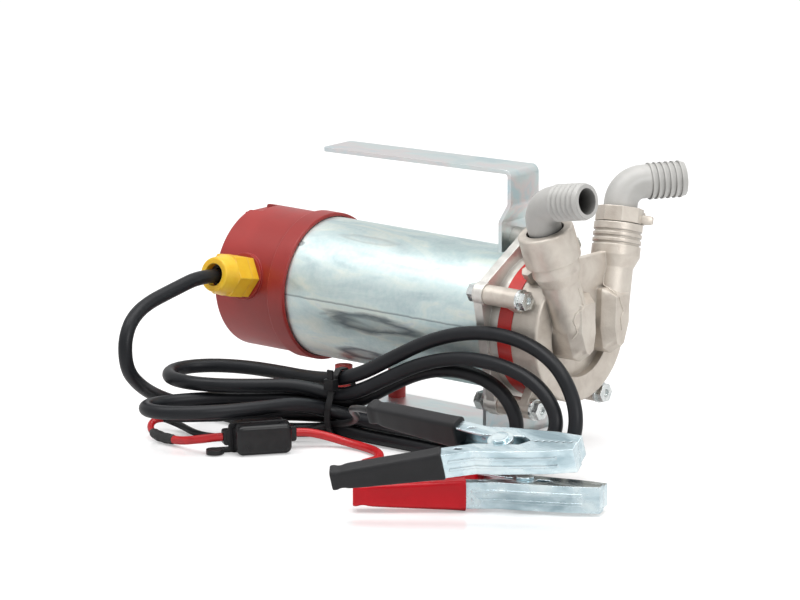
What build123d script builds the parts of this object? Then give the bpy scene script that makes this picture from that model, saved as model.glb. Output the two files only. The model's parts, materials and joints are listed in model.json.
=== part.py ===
from build123d import *
import os
from math import cos, sin, tan, radians, pi, sqrt, dist

# Electric transfer pump with a hand strap, two hose elbows and a battery cable in a tied hank.
# Millimetres. The floor is Z = 0 and the origin is the middle of the foot plate's underside.
# +X runs along the motor towards the pump head, +Z is up.

# Motor
AXIS_Z = 70.0               # shaft height over the floor
FLANGE_X = 66.0             # joint between the motor tube and the front flange
TUBE_R = 42.0
TUBE_WALL = 2.0
TUBE_LENGTH = 160.5
TUBE_BACK = FLANGE_X - TUBE_LENGTH
MAGNET_R = 34.5
ARMATURE_R = 33.4
ARMATURE_BACK = -50.0
ARMATURE_LENGTH = 70.0
SLOT_COUNT = 12
SLOT_WIDTH = 4.2
SLOT_DEPTH = 14.0
SHAFT_R = 6.0
REAR_SHAFT_R = 5.0
RUNNING_GAP = 0.04

# Rear cap
CAP_MOUTH = FLANGE_X - 148.5
CAP_BAND_END = FLANGE_X - 160.5
CAP_BACK = FLANGE_X - 204.6
CAP_BAND_R = 44.5
CAP_R = 42.7
CAP_WALL = 2.4
NOTCH_LENGTH = 10.0
NOTCH_DEPTH = 4.2

# Cable gland, on the near side of the cap
GLAND_X = -115.0
GLAND_TILT = 11.5           # degrees above horizontal
GLAND_NUT_BACK = 50.5       # distances from the motor axis along the gland
GLAND_NUT_FACE = 71.0
GLAND_FLATS = 24.0
GLAND_MOUTH_R = 6.75

# Front flange, ring and cover
FLANGE_T = 14.5
RING_T = 10.0
RING_R = 42.4
RING_BORE = 33.0
COVER_T = 18.5
COVER_X = FLANGE_X + FLANGE_T + RING_T
COVER_FRONT = COVER_X + COVER_T
RECESS_R = 27.0
RECESS_X = COVER_FRONT - 5.0
IMPELLER_R = 31.0
LUG_R = 5.9
LUGS = [(0.0, 50.0), (-43.5, 24.5), (43.5, 24.5), (-30.0, -43.0), (30.0, -43.0)]
BOLT_R = 3.0
BOLT_FLATS = 10.0
COLUMN_BACK = FLANGE_X + 9.0
COLUMN_FRONT = FLANGE_X + 33.0

# Ports and hose elbows
PORT_X = FLANGE_X + 51.0
PORT_Y = 15.6
PORT_Z = AXIS_Z + 3.0
PORT_SPLAY = 17.0           # degrees outward
PORT_LEAN = 6.0             # degrees back over the cover
PORT_TUBE_R = 11.2
PORT_BORE = 7.7
SPIGOT_R = 14.4
SPIGOT_START = 40.0         # distances along the port axis from its foot
SPIGOT_END = 59.0
ELBOW_R = 10.0
ELBOW_CORNER = 83.0
ELBOW_BEND_R = 14.5
BARB_LENGTH = 37.0
BARB_CREST_R = 10.9
BARB_COUNT = 6
BARB_PITCH = 3.6
BARB_LAND = 0.9
BARB_FIRST = 15.5
NEAR_BARB = (1.0, 0.0, 0.176)
FAR_BARB = (0.574, 0.819, 0.02)

# Handle strap and foot bracket
STRAP_T = 2.5
STRAP_W = 26.0
STRAP_LEG_X = FLANGE_X - 6.0
STRAP_TOP_X = FLANGE_X + 0.7
STRAP_TOP_Z = AXIS_Z + 92.0
STRAP_END_X = FLANGE_X - 144.0
STRAP_DROOP = 4.4
PLATE_T = 2.5
PLATE_W = 66.0
PLATE_BACK = -65.0
PLATE_FRONT = 65.0
BRACKET_TOP = 35.0
PAD_X = -51.5
PAD_Y = 24.6
PAD_R = 5.3

# Battery cable, its cores and the fused lead
CABLE_R = 4.25
CORE_R = 2.0
LEAD_R = 2.5
WAIST_X = -15.0             # where the tie draws the hank in
TIE_X = WAIST_X + 2.0

# Battery clamps, in each clamp's own axes: x from the rivet to the jaw's tip, y across, z along the rivet
ARM_T = 1.2
JAW_LENGTH = 46.0
HANDLE_LENGTH = 90.0
HANDLE_SLOPE = 17.3         # degrees
HANDLE_BEND_X = 12.0
ARM_OUTER_Y = 13.5
ARM_DEPTH = 8.4
NEAR_ARM_H = 7.6
FAR_ARM_H = 6.3
SLEEVE_H = 9.0
SLEEVE_W = 11.0
SLEEVE_START = 30.0
HANDLE_TAPER = 2.8          # taken off a handle's top and bottom edges at its end
RIVET_R = 3.0
CRIMP_REACH = 86.0          # where the wire is held, behind the rivet
SLEEVE_REACH = 97.7

os.makedirs("parts", exist_ok=True)


def save(name, part):
    """Label one finished piece and write it under its own name."""
    part.label = name
    export_step(part, f"parts/{name}.step")


def across(x):
    """Plane square to the motor axis at x, its own axes along +Y and +Z."""
    return Plane(origin=(x, 0, AXIS_Z), x_dir=(0, 1, 0), z_dir=(1, 0, 0))


def disc(x0, x1, radius, bore=0.0):
    """Round slice on the motor axis from x0 to x1, added to the part being made."""
    with BuildSketch(across(x0)) as outline:
        Circle(radius)
        if bore:
            Circle(bore, mode=Mode.SUBTRACT)
    extrude(outline.sketch, amount=x1 - x0)


def bore_out(x0, x1, radius):
    """Round hole on the motor axis from x0 to x1."""
    with BuildSketch(across(x0)) as outline:
        Circle(radius)
    extrude(outline.sketch, amount=x1 - x0, mode=Mode.SUBTRACT)


def hexagon_across(flats):
    """Hexagon drawn by its width across flats, in the sketch being made."""
    return RegularPolygon(flats / 2, 6, major_radius=False)


# Motor tube and everything that sits in it

with BuildPart() as motor_tube:
    disc(TUBE_BACK, FLANGE_X, TUBE_R, TUBE_R - TUBE_WALL)
save("motor_tube", motor_tube.part)

MAGNET_ARC = 124.0
WEDGE_REACH = 110.0         # corners of the wedge that cuts each magnet's arc
with BuildPart() as motor_magnets:
    for side in (0, 180):
        with BuildSketch(across(ARMATURE_BACK - 6)):
            Circle(TUBE_R - TUBE_WALL - 0.05)
            Circle(MAGNET_R, mode=Mode.SUBTRACT)
            with BuildLine():
                corners = [(0, 0)]
                for turn in (-MAGNET_ARC / 2, 0, MAGNET_ARC / 2):
                    angle = radians(side + turn)
                    corners.append((WEDGE_REACH * cos(angle), WEDGE_REACH * sin(angle)))
                Polyline(*corners, close=True)
            make_face(mode=Mode.INTERSECT)
        extrude(amount=ARMATURE_LENGTH + 12)
save("motor_magnets", motor_magnets.part)

with BuildPart() as armature_core:
    disc(ARMATURE_BACK, ARMATURE_BACK + ARMATURE_LENGTH, ARMATURE_R, SHAFT_R)
    with BuildSketch(across(ARMATURE_BACK)):
        with PolarLocations(ARMATURE_R - SLOT_DEPTH / 2, SLOT_COUNT):
            Rectangle(SLOT_DEPTH, SLOT_WIDTH)
    extrude(amount=ARMATURE_LENGTH, mode=Mode.SUBTRACT)
save("armature_core", armature_core.part)

END_TURN = 12.0
WIRE_R = ARMATURE_R - 1.6
with BuildPart() as armature_windings:
    disc(ARMATURE_BACK - END_TURN, ARMATURE_BACK, WIRE_R, 14.0)
    disc(ARMATURE_BACK + ARMATURE_LENGTH, ARMATURE_BACK + ARMATURE_LENGTH + END_TURN, WIRE_R, 14.0)
    with BuildSketch(across(ARMATURE_BACK)):
        with PolarLocations(ARMATURE_R - SLOT_DEPTH / 2 - 0.5, SLOT_COUNT):
            Rectangle(SLOT_DEPTH - 1.6, SLOT_WIDTH - 0.6)
    extrude(amount=ARMATURE_LENGTH)
save("armature_windings", armature_windings.part)

COMMUTATOR_BACK = -84.0
COMMUTATOR_LENGTH = 18.0
COMMUTATOR_R = 13.0
with BuildPart() as commutator:
    disc(COMMUTATOR_BACK, COMMUTATOR_BACK + COMMUTATOR_LENGTH, COMMUTATOR_R, REAR_SHAFT_R)
    with BuildSketch(across(COMMUTATOR_BACK)):
        with PolarLocations(COMMUTATOR_R, 2 * SLOT_COUNT):
            Rectangle(2.4, 0.5)
    extrude(amount=COMMUTATOR_LENGTH, mode=Mode.SUBTRACT)
save("commutator", commutator.part)

SHAFT_BACK = -103.0
SHAFT_STEP = -64.0
SHAFT_FRONT = COVER_X - 0.6
with BuildPart() as motor_shaft:
    disc(SHAFT_BACK, SHAFT_STEP, REAR_SHAFT_R)
    disc(SHAFT_STEP, SHAFT_FRONT, SHAFT_R)
save("motor_shaft", motor_shaft.part)

END_PLATE_BACK = TUBE_BACK - 5.0
ROD_RING = 36.8
ROD_R = 2.0
with BuildPart() as motor_end_plate:
    disc(END_PLATE_BACK, TUBE_BACK, TUBE_R - 2.2)
    disc(TUBE_BACK, TUBE_BACK + 4, TUBE_R - TUBE_WALL - 0.1, 34.0)
    disc(END_PLATE_BACK - 5, TUBE_BACK, 16.0)
    bore_out(END_PLATE_BACK - 3, TUBE_BACK, 11.0)
    bore_out(END_PLATE_BACK - 6, TUBE_BACK, REAR_SHAFT_R + 1)
    with BuildSketch(across(END_PLATE_BACK)):
        with Locations((0, ROD_RING), (0, -ROD_RING)):
            Circle(ROD_R + 0.3)
    extrude(amount=20, mode=Mode.SUBTRACT)
save("motor_end_plate", motor_end_plate.part)

with BuildPart() as rear_bearing:
    disc(END_PLATE_BACK - 3, END_PLATE_BACK + 4, 10.95, REAR_SHAFT_R + RUNNING_GAP)
save("rear_bearing", rear_bearing.part)

with BuildPart() as tie_rods:
    for side in (-1, 1):
        with BuildSketch(across(END_PLATE_BACK)):
            with Locations((0, side * ROD_RING)):
                Circle(ROD_R)
        extrude(amount=FLANGE_X - END_PLATE_BACK + 5)
        with BuildSketch(across(END_PLATE_BACK)):
            with Locations((0, side * ROD_RING)):
                Circle(3.0)
        extrude(amount=-2.6)
save("tie_rods", tie_rods.part)

BRUSH_X = COMMUTATOR_BACK + 9.0
with BuildPart() as brush_plate:
    disc(COMMUTATOR_BACK - 4, COMMUTATOR_BACK - 2, 33.5, COMMUTATOR_R + 2)
    for side in (-1, 1):
        with BuildSketch(across(COMMUTATOR_BACK - 2)):
            with Locations((side * 23, 0)):
                Rectangle(15, 11)
                Rectangle(17, 7.2, mode=Mode.SUBTRACT)
        extrude(amount=14)
save("brush_plate", brush_plate.part)

with BuildPart() as brushes:
    for side in (-1, 1):
        with BuildSketch(across(BRUSH_X - 4)):
            with Locations((side * (COMMUTATOR_R + 5.7), 0)):
                Rectangle(10.8, 6.8)
        extrude(amount=8)
save("brushes", brushes.part)

with BuildPart() as brush_springs:
    for side in (-1, 1):
        spring_foot = Plane(origin=(BRUSH_X, side * (COMMUTATOR_R + 11.3), AXIS_Z),
                            x_dir=(1, 0, 0), z_dir=(0, side, 0))
        with BuildSketch(spring_foot):
            Circle(2.6)
            Circle(1.9, mode=Mode.SUBTRACT)
        extrude(amount=5.5)
save("brush_springs", brush_springs.part)

with BuildPart() as terminal_block:
    with BuildSketch(across(END_PLATE_BACK - 13)):
        with Locations((12, -24)):
            Rectangle(22, 12)
            with Locations((-5, 0), (5, 0)):
                Circle(2.0, mode=Mode.SUBTRACT)
    extrude(amount=13)
save("terminal_block", terminal_block.part)

# Rear cap with its band, rear notch and gland pad

gland_out = Vector(0, -cos(radians(GLAND_TILT)), sin(radians(GLAND_TILT)))


def gland_plane(rho):
    """Plane square to the gland's axis, rho from the motor axis."""
    return Plane(origin=Vector(GLAND_X, 0, AXIS_Z) + gland_out * rho, x_dir=(1, 0, 0), z_dir=gland_out)


with BuildPart() as rear_cap:
    disc(CAP_BACK, CAP_MOUTH, CAP_R)
    fillet(rear_cap.faces().sort_by(Axis.X)[0].edges(), radius=2.0)
    with BuildSketch(across(CAP_BAND_END)):
        Circle(CAP_BAND_R)
    extrude(amount=CAP_MOUTH - CAP_BAND_END)
    fillet(rear_cap.faces().sort_by(Axis.X)[-1].outer_wire().edges(), radius=0.8)
    with BuildSketch(gland_plane(36)):
        Circle(14.0)
    extrude(amount=8.2)
    bore_out(CAP_BACK + CAP_WALL, CAP_BAND_END, CAP_R - CAP_WALL)
    bore_out(CAP_BAND_END - 1, CAP_MOUTH, TUBE_R + 0.5)
    with BuildSketch(gland_plane(30)):
        Circle(9.1)
    extrude(amount=20, mode=Mode.SUBTRACT)
    with BuildSketch(Plane.YZ.offset(CAP_BACK)):
        with Locations((-2.5, AXIS_Z + CAP_R)):
            Rectangle(17, 2 * NOTCH_DEPTH)
    extrude(amount=NOTCH_LENGTH, taper=8, mode=Mode.SUBTRACT)
    with BuildSketch(Plane.YZ.offset(CAP_BACK)):
        with Locations((-2.5, AXIS_Z + CAP_R - 6)):
            Rectangle(22, 7)
    extrude(amount=NOTCH_LENGTH + 2)
    with BuildSketch(Plane.YZ.offset(CAP_BACK + CAP_WALL)):
        with Locations((-2.5, AXIS_Z + CAP_R - 10)):
            Rectangle(17, 6)
    extrude(amount=NOTCH_LENGTH - CAP_WALL, mode=Mode.SUBTRACT)
save("rear_cap", rear_cap.part)

with BuildPart() as gland_body:
    with BuildSketch(gland_plane(34)):
        Circle(8.9)
    extrude(amount=24)
    with BuildSketch(gland_plane(44.4)):
        hexagon_across(GLAND_FLATS - 0.6)
    extrude(amount=5.6)
    with BuildSketch(gland_plane(33)):
        Circle(5.3)
    extrude(amount=30, mode=Mode.SUBTRACT)
save("gland_body", gland_body.part)

with BuildPart() as gland_nut:
    with BuildSketch(gland_plane(GLAND_NUT_BACK)):
        hexagon_across(GLAND_FLATS)
    extrude(amount=11)
    with BuildSketch(gland_plane(GLAND_NUT_BACK + 11)):
        Circle(12.2)
    with BuildSketch(gland_plane(GLAND_NUT_FACE)):
        Circle(10.2)
    loft()
    fillet(gland_nut.faces().sort_by(Axis(gland_plane(0).origin, gland_out))[-1].edges(), radius=1.2)
    with BuildSketch(gland_plane(GLAND_NUT_BACK)):
        Circle(9.1)
    extrude(amount=10.5, mode=Mode.SUBTRACT)
    with BuildSketch(gland_plane(GLAND_NUT_BACK)):
        Circle(GLAND_MOUTH_R)
    extrude(amount=30, mode=Mode.SUBTRACT)
save("gland_nut", gland_nut.part)

with BuildPart() as gland_seal:
    with BuildSketch(gland_plane(58.2)):
        Circle(GLAND_MOUTH_R - 0.05)
        Circle(CABLE_R + 0.1, mode=Mode.SUBTRACT)
    extrude(amount=7.5)
save("gland_seal", gland_seal.part)

# Front flange: bearing and seal housing, spigot, and a rim with five lugs

UPPER_LUGS = LUGS[:3]
LOWER_LUGS = LUGS[3:]
RIM_BACK = FLANGE_X + 2.0
RIM_FRONT = FLANGE_X + 8.0
with BuildPart() as front_flange:
    disc(FLANGE_X, FLANGE_X + FLANGE_T, TUBE_R - 0.1)
    disc(FLANGE_X - 6, FLANGE_X, TUBE_R - TUBE_WALL - 0.1)
    bore_out(FLANGE_X - 6, FLANGE_X + 4, TUBE_R - 5)
    disc(FLANGE_X - 15, FLANGE_X + 6, 20.0)
    with BuildSketch(across(RIM_BACK)):
        with Locations(*LUGS):
            Circle(LUG_R)
        make_hull()
    extrude(amount=RIM_FRONT - RIM_BACK)
    with BuildSketch(across(RIM_BACK)):
        with Locations(*LUGS):
            Circle(LUG_R + 1)
    extrude(amount=COLUMN_BACK - RIM_BACK)
    with BuildSketch(across(STRAP_LEG_X)):
        with Locations(LUGS[0]):
            Circle(LUG_R)
    extrude(amount=RIM_BACK - STRAP_LEG_X)
    with BuildSketch(across(PLATE_FRONT)):
        with Locations(*LOWER_LUGS):
            Circle(LUG_R)
    extrude(amount=RIM_BACK - PLATE_FRONT)
    with BuildSketch(across(STRAP_LEG_X - 1)):
        with Locations(*LUGS):
            Circle(BOLT_R + 0.2)
    extrude(amount=30, mode=Mode.SUBTRACT)
    bore_out(FLANGE_X - 15, FLANGE_X - 5, 16.0)
    bore_out(FLANGE_X - 6, FLANGE_X + FLANGE_T, SHAFT_R + 1)
    bore_out(FLANGE_X + FLANGE_T - 8, FLANGE_X + FLANGE_T, 12.0)
    with BuildSketch(across(FLANGE_X - 7)):
        with Locations((0, ROD_RING), (0, -ROD_RING)):
            Circle(ROD_R + 0.02)
    extrude(amount=12.5, mode=Mode.SUBTRACT)
save("front_flange", front_flange.part)

with BuildPart() as front_bearing:
    disc(FLANGE_X - 15, FLANGE_X - 5, 15.95, SHAFT_R + RUNNING_GAP)
save("front_bearing", front_bearing.part)

with BuildPart() as shaft_seal:
    disc(FLANGE_X + FLANGE_T - 8, FLANGE_X + FLANGE_T - 1, 11.95, SHAFT_R + RUNNING_GAP)
save("shaft_seal", shaft_seal.part)

with BuildPart() as seal_ring:
    disc(FLANGE_X + FLANGE_T, COVER_X, RING_R, RING_BORE)
save("seal_ring", seal_ring.part)

BLADE_COUNT = 10
BLADE_LENGTH = 21.0
with BuildPart() as impeller:
    disc(COVER_X - RING_T + 0.8, COVER_X - 0.8, 11.0, SHAFT_R)
    with BuildSketch(across(COVER_X - RING_T + 0.8)):
        with PolarLocations(IMPELLER_R - BLADE_LENGTH / 2, BLADE_COUNT):
            Rectangle(BLADE_LENGTH, 3.2)
    extrude(amount=RING_T - 1.6)
save("impeller", impeller.part)


# Ports: each rises from the cover's recess, splayed outwards and leaning back

def port_direction(side):
    splay = radians(PORT_SPLAY)
    lean = radians(PORT_LEAN)
    return Vector(-sin(lean), side * sin(splay) * cos(lean), cos(splay) * cos(lean))


def port_plane(side, along):
    """Plane square to a port's axis; side is -1 for the near port and 1 for the far one."""
    axis = port_direction(side)
    foot = Vector(PORT_X, side * PORT_Y, PORT_Z)
    return Plane(origin=foot + axis * along, x_dir=(0, side, 0), z_dir=axis)


# Half outline of a port's boot, seen from the front: outward distance, height over the motor axis
BOOT = [(27.0, 26.0), (26.5, 4.0), (21.0, -10.5), (14.5, -14.0), (7.0, -9.5), (4.6, 3.0), (5.6, 26.0)]
BOOT_FRONT = 54.0 + FLANGE_X
BOOT_NOSE = 7.5
KNUCKLE = 9.0               # where the round tube leaves the boot, along the port axis
WEB_TOP = AXIS_Z + 46.0

with BuildPart() as pump_cover:
    disc(COVER_X, COVER_FRONT, TUBE_R)
    fillet(pump_cover.faces().sort_by(Axis.X)[-1].edges(), radius=1.6)
    with BuildSketch(across(RECESS_X)):
        Circle(RECESS_R)
    extrude(amount=20, mode=Mode.SUBTRACT)
    for lug_y, lug_z in LUGS:
        reach = sqrt(lug_y ** 2 + lug_z ** 2)
        lug_plane = Plane(origin=(COLUMN_BACK, 0, AXIS_Z), x_dir=(0, lug_y / reach, lug_z / reach),
                          z_dir=(1, 0, 0))
        with BuildSketch(lug_plane):
            with Locations((reach, 0)):
                Circle(LUG_R)
        extrude(amount=COLUMN_FRONT - COLUMN_BACK)
        with BuildSketch(lug_plane.offset(COVER_X - COLUMN_BACK + 0.5)):
            with Locations(((reach + 34) / 2, 0)):
                Rectangle(reach - 34, 2 * LUG_R)
        extrude(amount=COLUMN_FRONT - COVER_X - 2.5)
        with BuildSketch(lug_plane):
            with Locations((reach, 0)):
                Circle(BOLT_R + 0.2)
        extrude(amount=40, mode=Mode.SUBTRACT)
    for side in (-1, 1):
        outline = [(side * out, up) for out, up in BOOT]
        with BuildSketch(across(RECESS_X - 1)) as boot_face:
            with BuildLine():
                Polyline(*outline, close=True)
            make_face()
            fillet(boot_face.vertices(), radius=1.6)
        extrude(amount=BOOT_FRONT - RECESS_X + 1)
        with BuildSketch(across(BOOT_FRONT)) as nose_face:
            with BuildLine():
                Polyline(*outline, close=True)
            make_face()
            fillet(nose_face.vertices(), radius=1.6)
        extrude(amount=BOOT_NOSE, taper=32)
        with BuildSketch(port_plane(side, KNUCKLE)):
            Circle(PORT_TUBE_R)
        extrude(amount=SPIGOT_START - KNUCKLE)
        with Locations(port_plane(side, KNUCKLE).origin):
            Sphere(PORT_TUBE_R)
        with BuildSketch(port_plane(side, SPIGOT_START - 7)):
            Circle(PORT_TUBE_R)
        with BuildSketch(port_plane(side, SPIGOT_START)):
            Circle(SPIGOT_R)
        loft()
        with BuildSketch(port_plane(side, SPIGOT_START)):
            Circle(SPIGOT_R)
        extrude(amount=SPIGOT_END - SPIGOT_START)
    web_plane = Plane(origin=(PORT_X - 5.5, 0, 0), x_dir=(0, 1, 0), z_dir=(1, 0, 0))
    with BuildSketch(web_plane):
        with BuildLine():
            Polyline((-9, AXIS_Z + 8), (9, AXIS_Z + 8), (24, WEB_TOP), (-24, WEB_TOP), close=True)
        make_face()
    extrude(amount=4.5)
    for side in (-1, 1):
        with BuildSketch(port_plane(side, 0)):
            Circle(PORT_BORE)
        extrude(amount=80, mode=Mode.SUBTRACT)
        duct_x = Plane(origin=(COVER_X, side * PORT_Y, PORT_Z + 0.5), x_dir=(0, 1, 0), z_dir=(1, 0, 0))
        with BuildSketch(duct_x):
            Circle(PORT_BORE - 0.4)
        extrude(amount=PORT_X - COVER_X + 1, mode=Mode.SUBTRACT)
    with BuildSketch(port_plane(1, SPIGOT_START + 8)):
        Circle(11.7)
    extrude(amount=20, mode=Mode.SUBTRACT)
    for ridge in range(3):
        with BuildSketch(port_plane(1, SPIGOT_START + 6 + ridge * 3.6)):
            Circle(SPIGOT_R + 0.1)
            Circle(SPIGOT_R - 0.9, mode=Mode.SUBTRACT)
        extrude(amount=1.6, mode=Mode.SUBTRACT)
save("pump_cover", pump_cover.part)

PLUG_LEAN = 52.0            # degrees above horizontal, on the near side
PLUG_X = 94.2
plug_out = Vector(0, -cos(radians(PLUG_LEAN)), sin(radians(PLUG_LEAN)))
plug_foot = Plane(origin=Vector(PLUG_X, 0, AXIS_Z) + plug_out * (TUBE_R + 0.05),
                  x_dir=(1, 0, 0), z_dir=plug_out)
with BuildPart() as cover_plug:
    with BuildSketch(plug_foot):
        Circle(3.6)
    extrude(amount=3.8)
    with BuildSketch(plug_foot.offset(3.8)):
        hexagon_across(7.4)
    extrude(amount=4.4)
save("cover_plug", cover_plug.part)

# Union nuts and hose elbows

NEAR_NUT_START = 47.0
NEAR_NUT_END = 66.5
with BuildPart() as near_union_nut:
    with BuildSketch(port_plane(-1, NEAR_NUT_START)):
        Circle(16.6)
    extrude(amount=NEAR_NUT_END - NEAR_NUT_START)
    near_axis = Axis(port_plane(-1, 0).origin, port_direction(-1))
    fillet(near_union_nut.faces().sort_by(near_axis)[-1].edges(), radius=1.4)
    fillet(near_union_nut.faces().sort_by(near_axis)[0].edges(), radius=0.8)
    with BuildSketch(port_plane(-1, NEAR_NUT_START)):
        Circle(SPIGOT_R + RUNNING_GAP)
    extrude(amount=NEAR_NUT_END - NEAR_NUT_START - 2.2, mode=Mode.SUBTRACT)
    with BuildSketch(port_plane(-1, NEAR_NUT_START)):
        Circle(ELBOW_R + 1.3)
    extrude(amount=30, mode=Mode.SUBTRACT)
save("near_union_nut", near_union_nut.part)

FAR_NUT_START = SPIGOT_START + 9.0
FAR_NUT_HEX = SPIGOT_END + 0.6
FAR_NUT_END = 68.5
with BuildPart() as far_union_nut:
    with BuildSketch(port_plane(1, FAR_NUT_START)):
        Circle(11.7 - RUNNING_GAP)
    extrude(amount=FAR_NUT_HEX - FAR_NUT_START)
    with BuildSketch(port_plane(1, FAR_NUT_HEX)):
        RegularPolygon(13.0, 8, major_radius=False)
    extrude(amount=FAR_NUT_END - FAR_NUT_HEX)
    with BuildSketch(port_plane(1, FAR_NUT_HEX + 1.0)):
        with Locations((16.5, 0)):
            Rectangle(9.0, 5.0)
    extrude(amount=7.5)
    with BuildSketch(port_plane(1, FAR_NUT_START)):
        Circle(ELBOW_R + RUNNING_GAP + 0.2)
    extrude(amount=40, mode=Mode.SUBTRACT)
save("far_union_nut", far_union_nut.part)


ELBOW_FLANGE = 2.6


def elbow(side, start, barb, flange_r):
    """Hose elbow: a leg on the port's axis, a tight bend and a ribbed tail along barb."""
    leg = port_plane(side, start)
    corner = port_plane(side, ELBOW_CORNER).origin
    tail = Vector(*barb).normalized()
    end = corner + tail * BARB_LENGTH
    with BuildPart() as piece:
        with BuildLine() as route:
            FilletPolyline(leg.origin, corner, end, radius=ELBOW_BEND_R)
        with BuildSketch(leg):
            Circle(ELBOW_R)
        sweep(path=route.line)
        with BuildSketch(leg):
            Circle(flange_r)
        extrude(amount=ELBOW_FLANGE)
        tail_plane = Plane(origin=corner, x_dir=(0, 0, 1), z_dir=tail)
        for rib in range(BARB_COUNT):
            at = BARB_FIRST + rib * BARB_PITCH
            with BuildSketch(tail_plane.offset(at)):
                Circle(BARB_CREST_R)
            extrude(amount=BARB_LAND)
            with BuildSketch(tail_plane.offset(at + BARB_LAND)):
                Circle(BARB_CREST_R)
            with BuildSketch(tail_plane.offset(at + BARB_PITCH - 0.5)):
                Circle(ELBOW_R - 0.1)
            loft()
        with BuildLine() as bore_route:
            FilletPolyline(leg.origin - leg.z_dir * 0.5, corner, end + tail * 0.5, radius=ELBOW_BEND_R)
        with BuildSketch(Plane(origin=leg.origin - leg.z_dir * 0.5, x_dir=leg.x_dir, z_dir=leg.z_dir)):
            Circle(PORT_BORE)
        sweep(path=bore_route.line, mode=Mode.SUBTRACT)
    return piece.part


WASHER_T = 1.5
save("near_elbow", elbow(-1, SPIGOT_END + WASHER_T + 0.1, NEAR_BARB, SPIGOT_R - 0.5))
save("far_elbow", elbow(1, FAR_NUT_START, FAR_BARB, ELBOW_R))

with BuildPart() as port_washers:
    with BuildSketch(port_plane(-1, SPIGOT_END)):
        Circle(SPIGOT_R - 0.5)
        Circle(PORT_BORE + 0.6, mode=Mode.SUBTRACT)
    extrude(amount=WASHER_T)
    with BuildSketch(port_plane(1, SPIGOT_START + 8)):
        Circle(11.5)
        Circle(PORT_BORE + 0.6, mode=Mode.SUBTRACT)
    extrude(amount=0.9)
save("port_washers", port_washers.part)

# Fasteners through the five lugs

HEAD_FLANGE = 1.4
HEAD_H = 4.2
HEAD_DIMPLE_R = 2.4
NUT_H = 5.0


def nut_seat(index):
    """Where each bolt's nut bears: the strap, the rim's back, or the foot bracket."""
    if index == 0:
        return STRAP_LEG_X - STRAP_T
    return RIM_BACK if index < 3 else PLATE_FRONT - PLATE_T


with BuildPart() as cover_bolts:
    for index, spot in enumerate(LUGS):
        tail_x = nut_seat(index) - NUT_H - 2
        with BuildSketch(across(tail_x)):
            with Locations(spot):
                Circle(BOLT_R)
        extrude(amount=COLUMN_FRONT - tail_x)
        with BuildSketch(across(COLUMN_FRONT)):
            with Locations(spot):
                Circle(6.4)
        extrude(amount=HEAD_FLANGE)
        with BuildSketch(across(COLUMN_FRONT + HEAD_FLANGE)):
            with Locations(spot):
                hexagon_across(BOLT_FLATS)
        extrude(amount=HEAD_H)
        with BuildSketch(across(COLUMN_FRONT + HEAD_FLANGE + HEAD_H)):
            with Locations(spot):
                Circle(HEAD_DIMPLE_R)
        extrude(amount=-1.2, mode=Mode.SUBTRACT)
save("cover_bolts", cover_bolts.part)

with BuildPart() as cover_nuts:
    for index, spot in enumerate(LUGS):
        with BuildSketch(across(nut_seat(index))):
            with Locations(spot):
                hexagon_across(BOLT_FLATS)
                Circle(BOLT_R + 0.05, mode=Mode.SUBTRACT)
        extrude(amount=-NUT_H)
save("cover_nuts", cover_nuts.part)

# Handle strap: one bent strip, bolted to the top lug

strap_path = [
    (STRAP_LEG_X - STRAP_T / 2, AXIS_Z + TUBE_R + 0.4),
    (STRAP_LEG_X - STRAP_T / 2, AXIS_Z + 60.0),
    (STRAP_TOP_X - STRAP_T / 2, AXIS_Z + 71.0),
    (STRAP_TOP_X - STRAP_T / 2, STRAP_TOP_Z - STRAP_T / 2),
    (STRAP_END_X, STRAP_TOP_Z - STRAP_T / 2 - STRAP_DROOP),
]
with BuildPart() as handle_strap:
    with BuildSketch(Plane.XZ.offset(-STRAP_W / 2)):
        with BuildLine():
            FilletPolyline(*strap_path, radius=[4.0, 4.0, 3.2])
        trace(line_width=STRAP_T)
    extrude(amount=STRAP_W)
    with BuildSketch(across(STRAP_LEG_X - STRAP_T - 1)):
        with Locations(LUGS[0]):
            Circle(BOLT_R + 0.3)
    extrude(amount=STRAP_T + 2, mode=Mode.SUBTRACT)
    strap_corners = handle_strap.edges().filter_by(lambda edge: edge.length < STRAP_T + 0.1)
    fillet(strap_corners.sort_by(Axis.X)[:2], radius=3.0)
save("handle_strap", handle_strap.part)

# Foot bracket: an L of plate with two pads under the motor's rear

with BuildPart() as foot_bracket:
    with BuildSketch(Plane.XZ.offset(-PLATE_W / 2)):
        with BuildLine():
            FilletPolyline((PLATE_BACK, PLATE_T / 2), (PLATE_FRONT - PLATE_T / 2, PLATE_T / 2),
                           (PLATE_FRONT - PLATE_T / 2, BRACKET_TOP), radius=3.5)
        trace(line_width=PLATE_T)
    extrude(amount=PLATE_W)
    with BuildSketch(across(PLATE_FRONT - PLATE_T - 1)):
        with Locations(*LOWER_LUGS):
            Circle(BOLT_R + 0.3)
    extrude(amount=PLATE_T + 2, mode=Mode.SUBTRACT)
    with BuildSketch(across(PLATE_FRONT - PLATE_T - 1)):
        Circle(TUBE_R + 0.5)
    extrude(amount=PLATE_T + 2, mode=Mode.SUBTRACT)
    plate_corners = foot_bracket.edges().filter_by(lambda edge: edge.length < PLATE_T + 0.1)
    fillet(plate_corners.sort_by(Axis.X)[:2], radius=4.0)
save("foot_bracket", foot_bracket.part)

with BuildPart() as motor_pads:
    with BuildSketch(Plane.XY.offset(PLATE_T)):
        with Locations((PAD_X, -PAD_Y), (PAD_X, PAD_Y)):
            Circle(PAD_R)
    extrude(amount=AXIS_Z - TUBE_R)
    with BuildSketch(across(PAD_X - 10)):
        Circle(TUBE_R + 0.05)
    extrude(amount=20, mode=Mode.SUBTRACT)
save("motor_pads", motor_pads.part)


# Battery cable: the stretch from the gland, then the hank held by a tie

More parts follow.
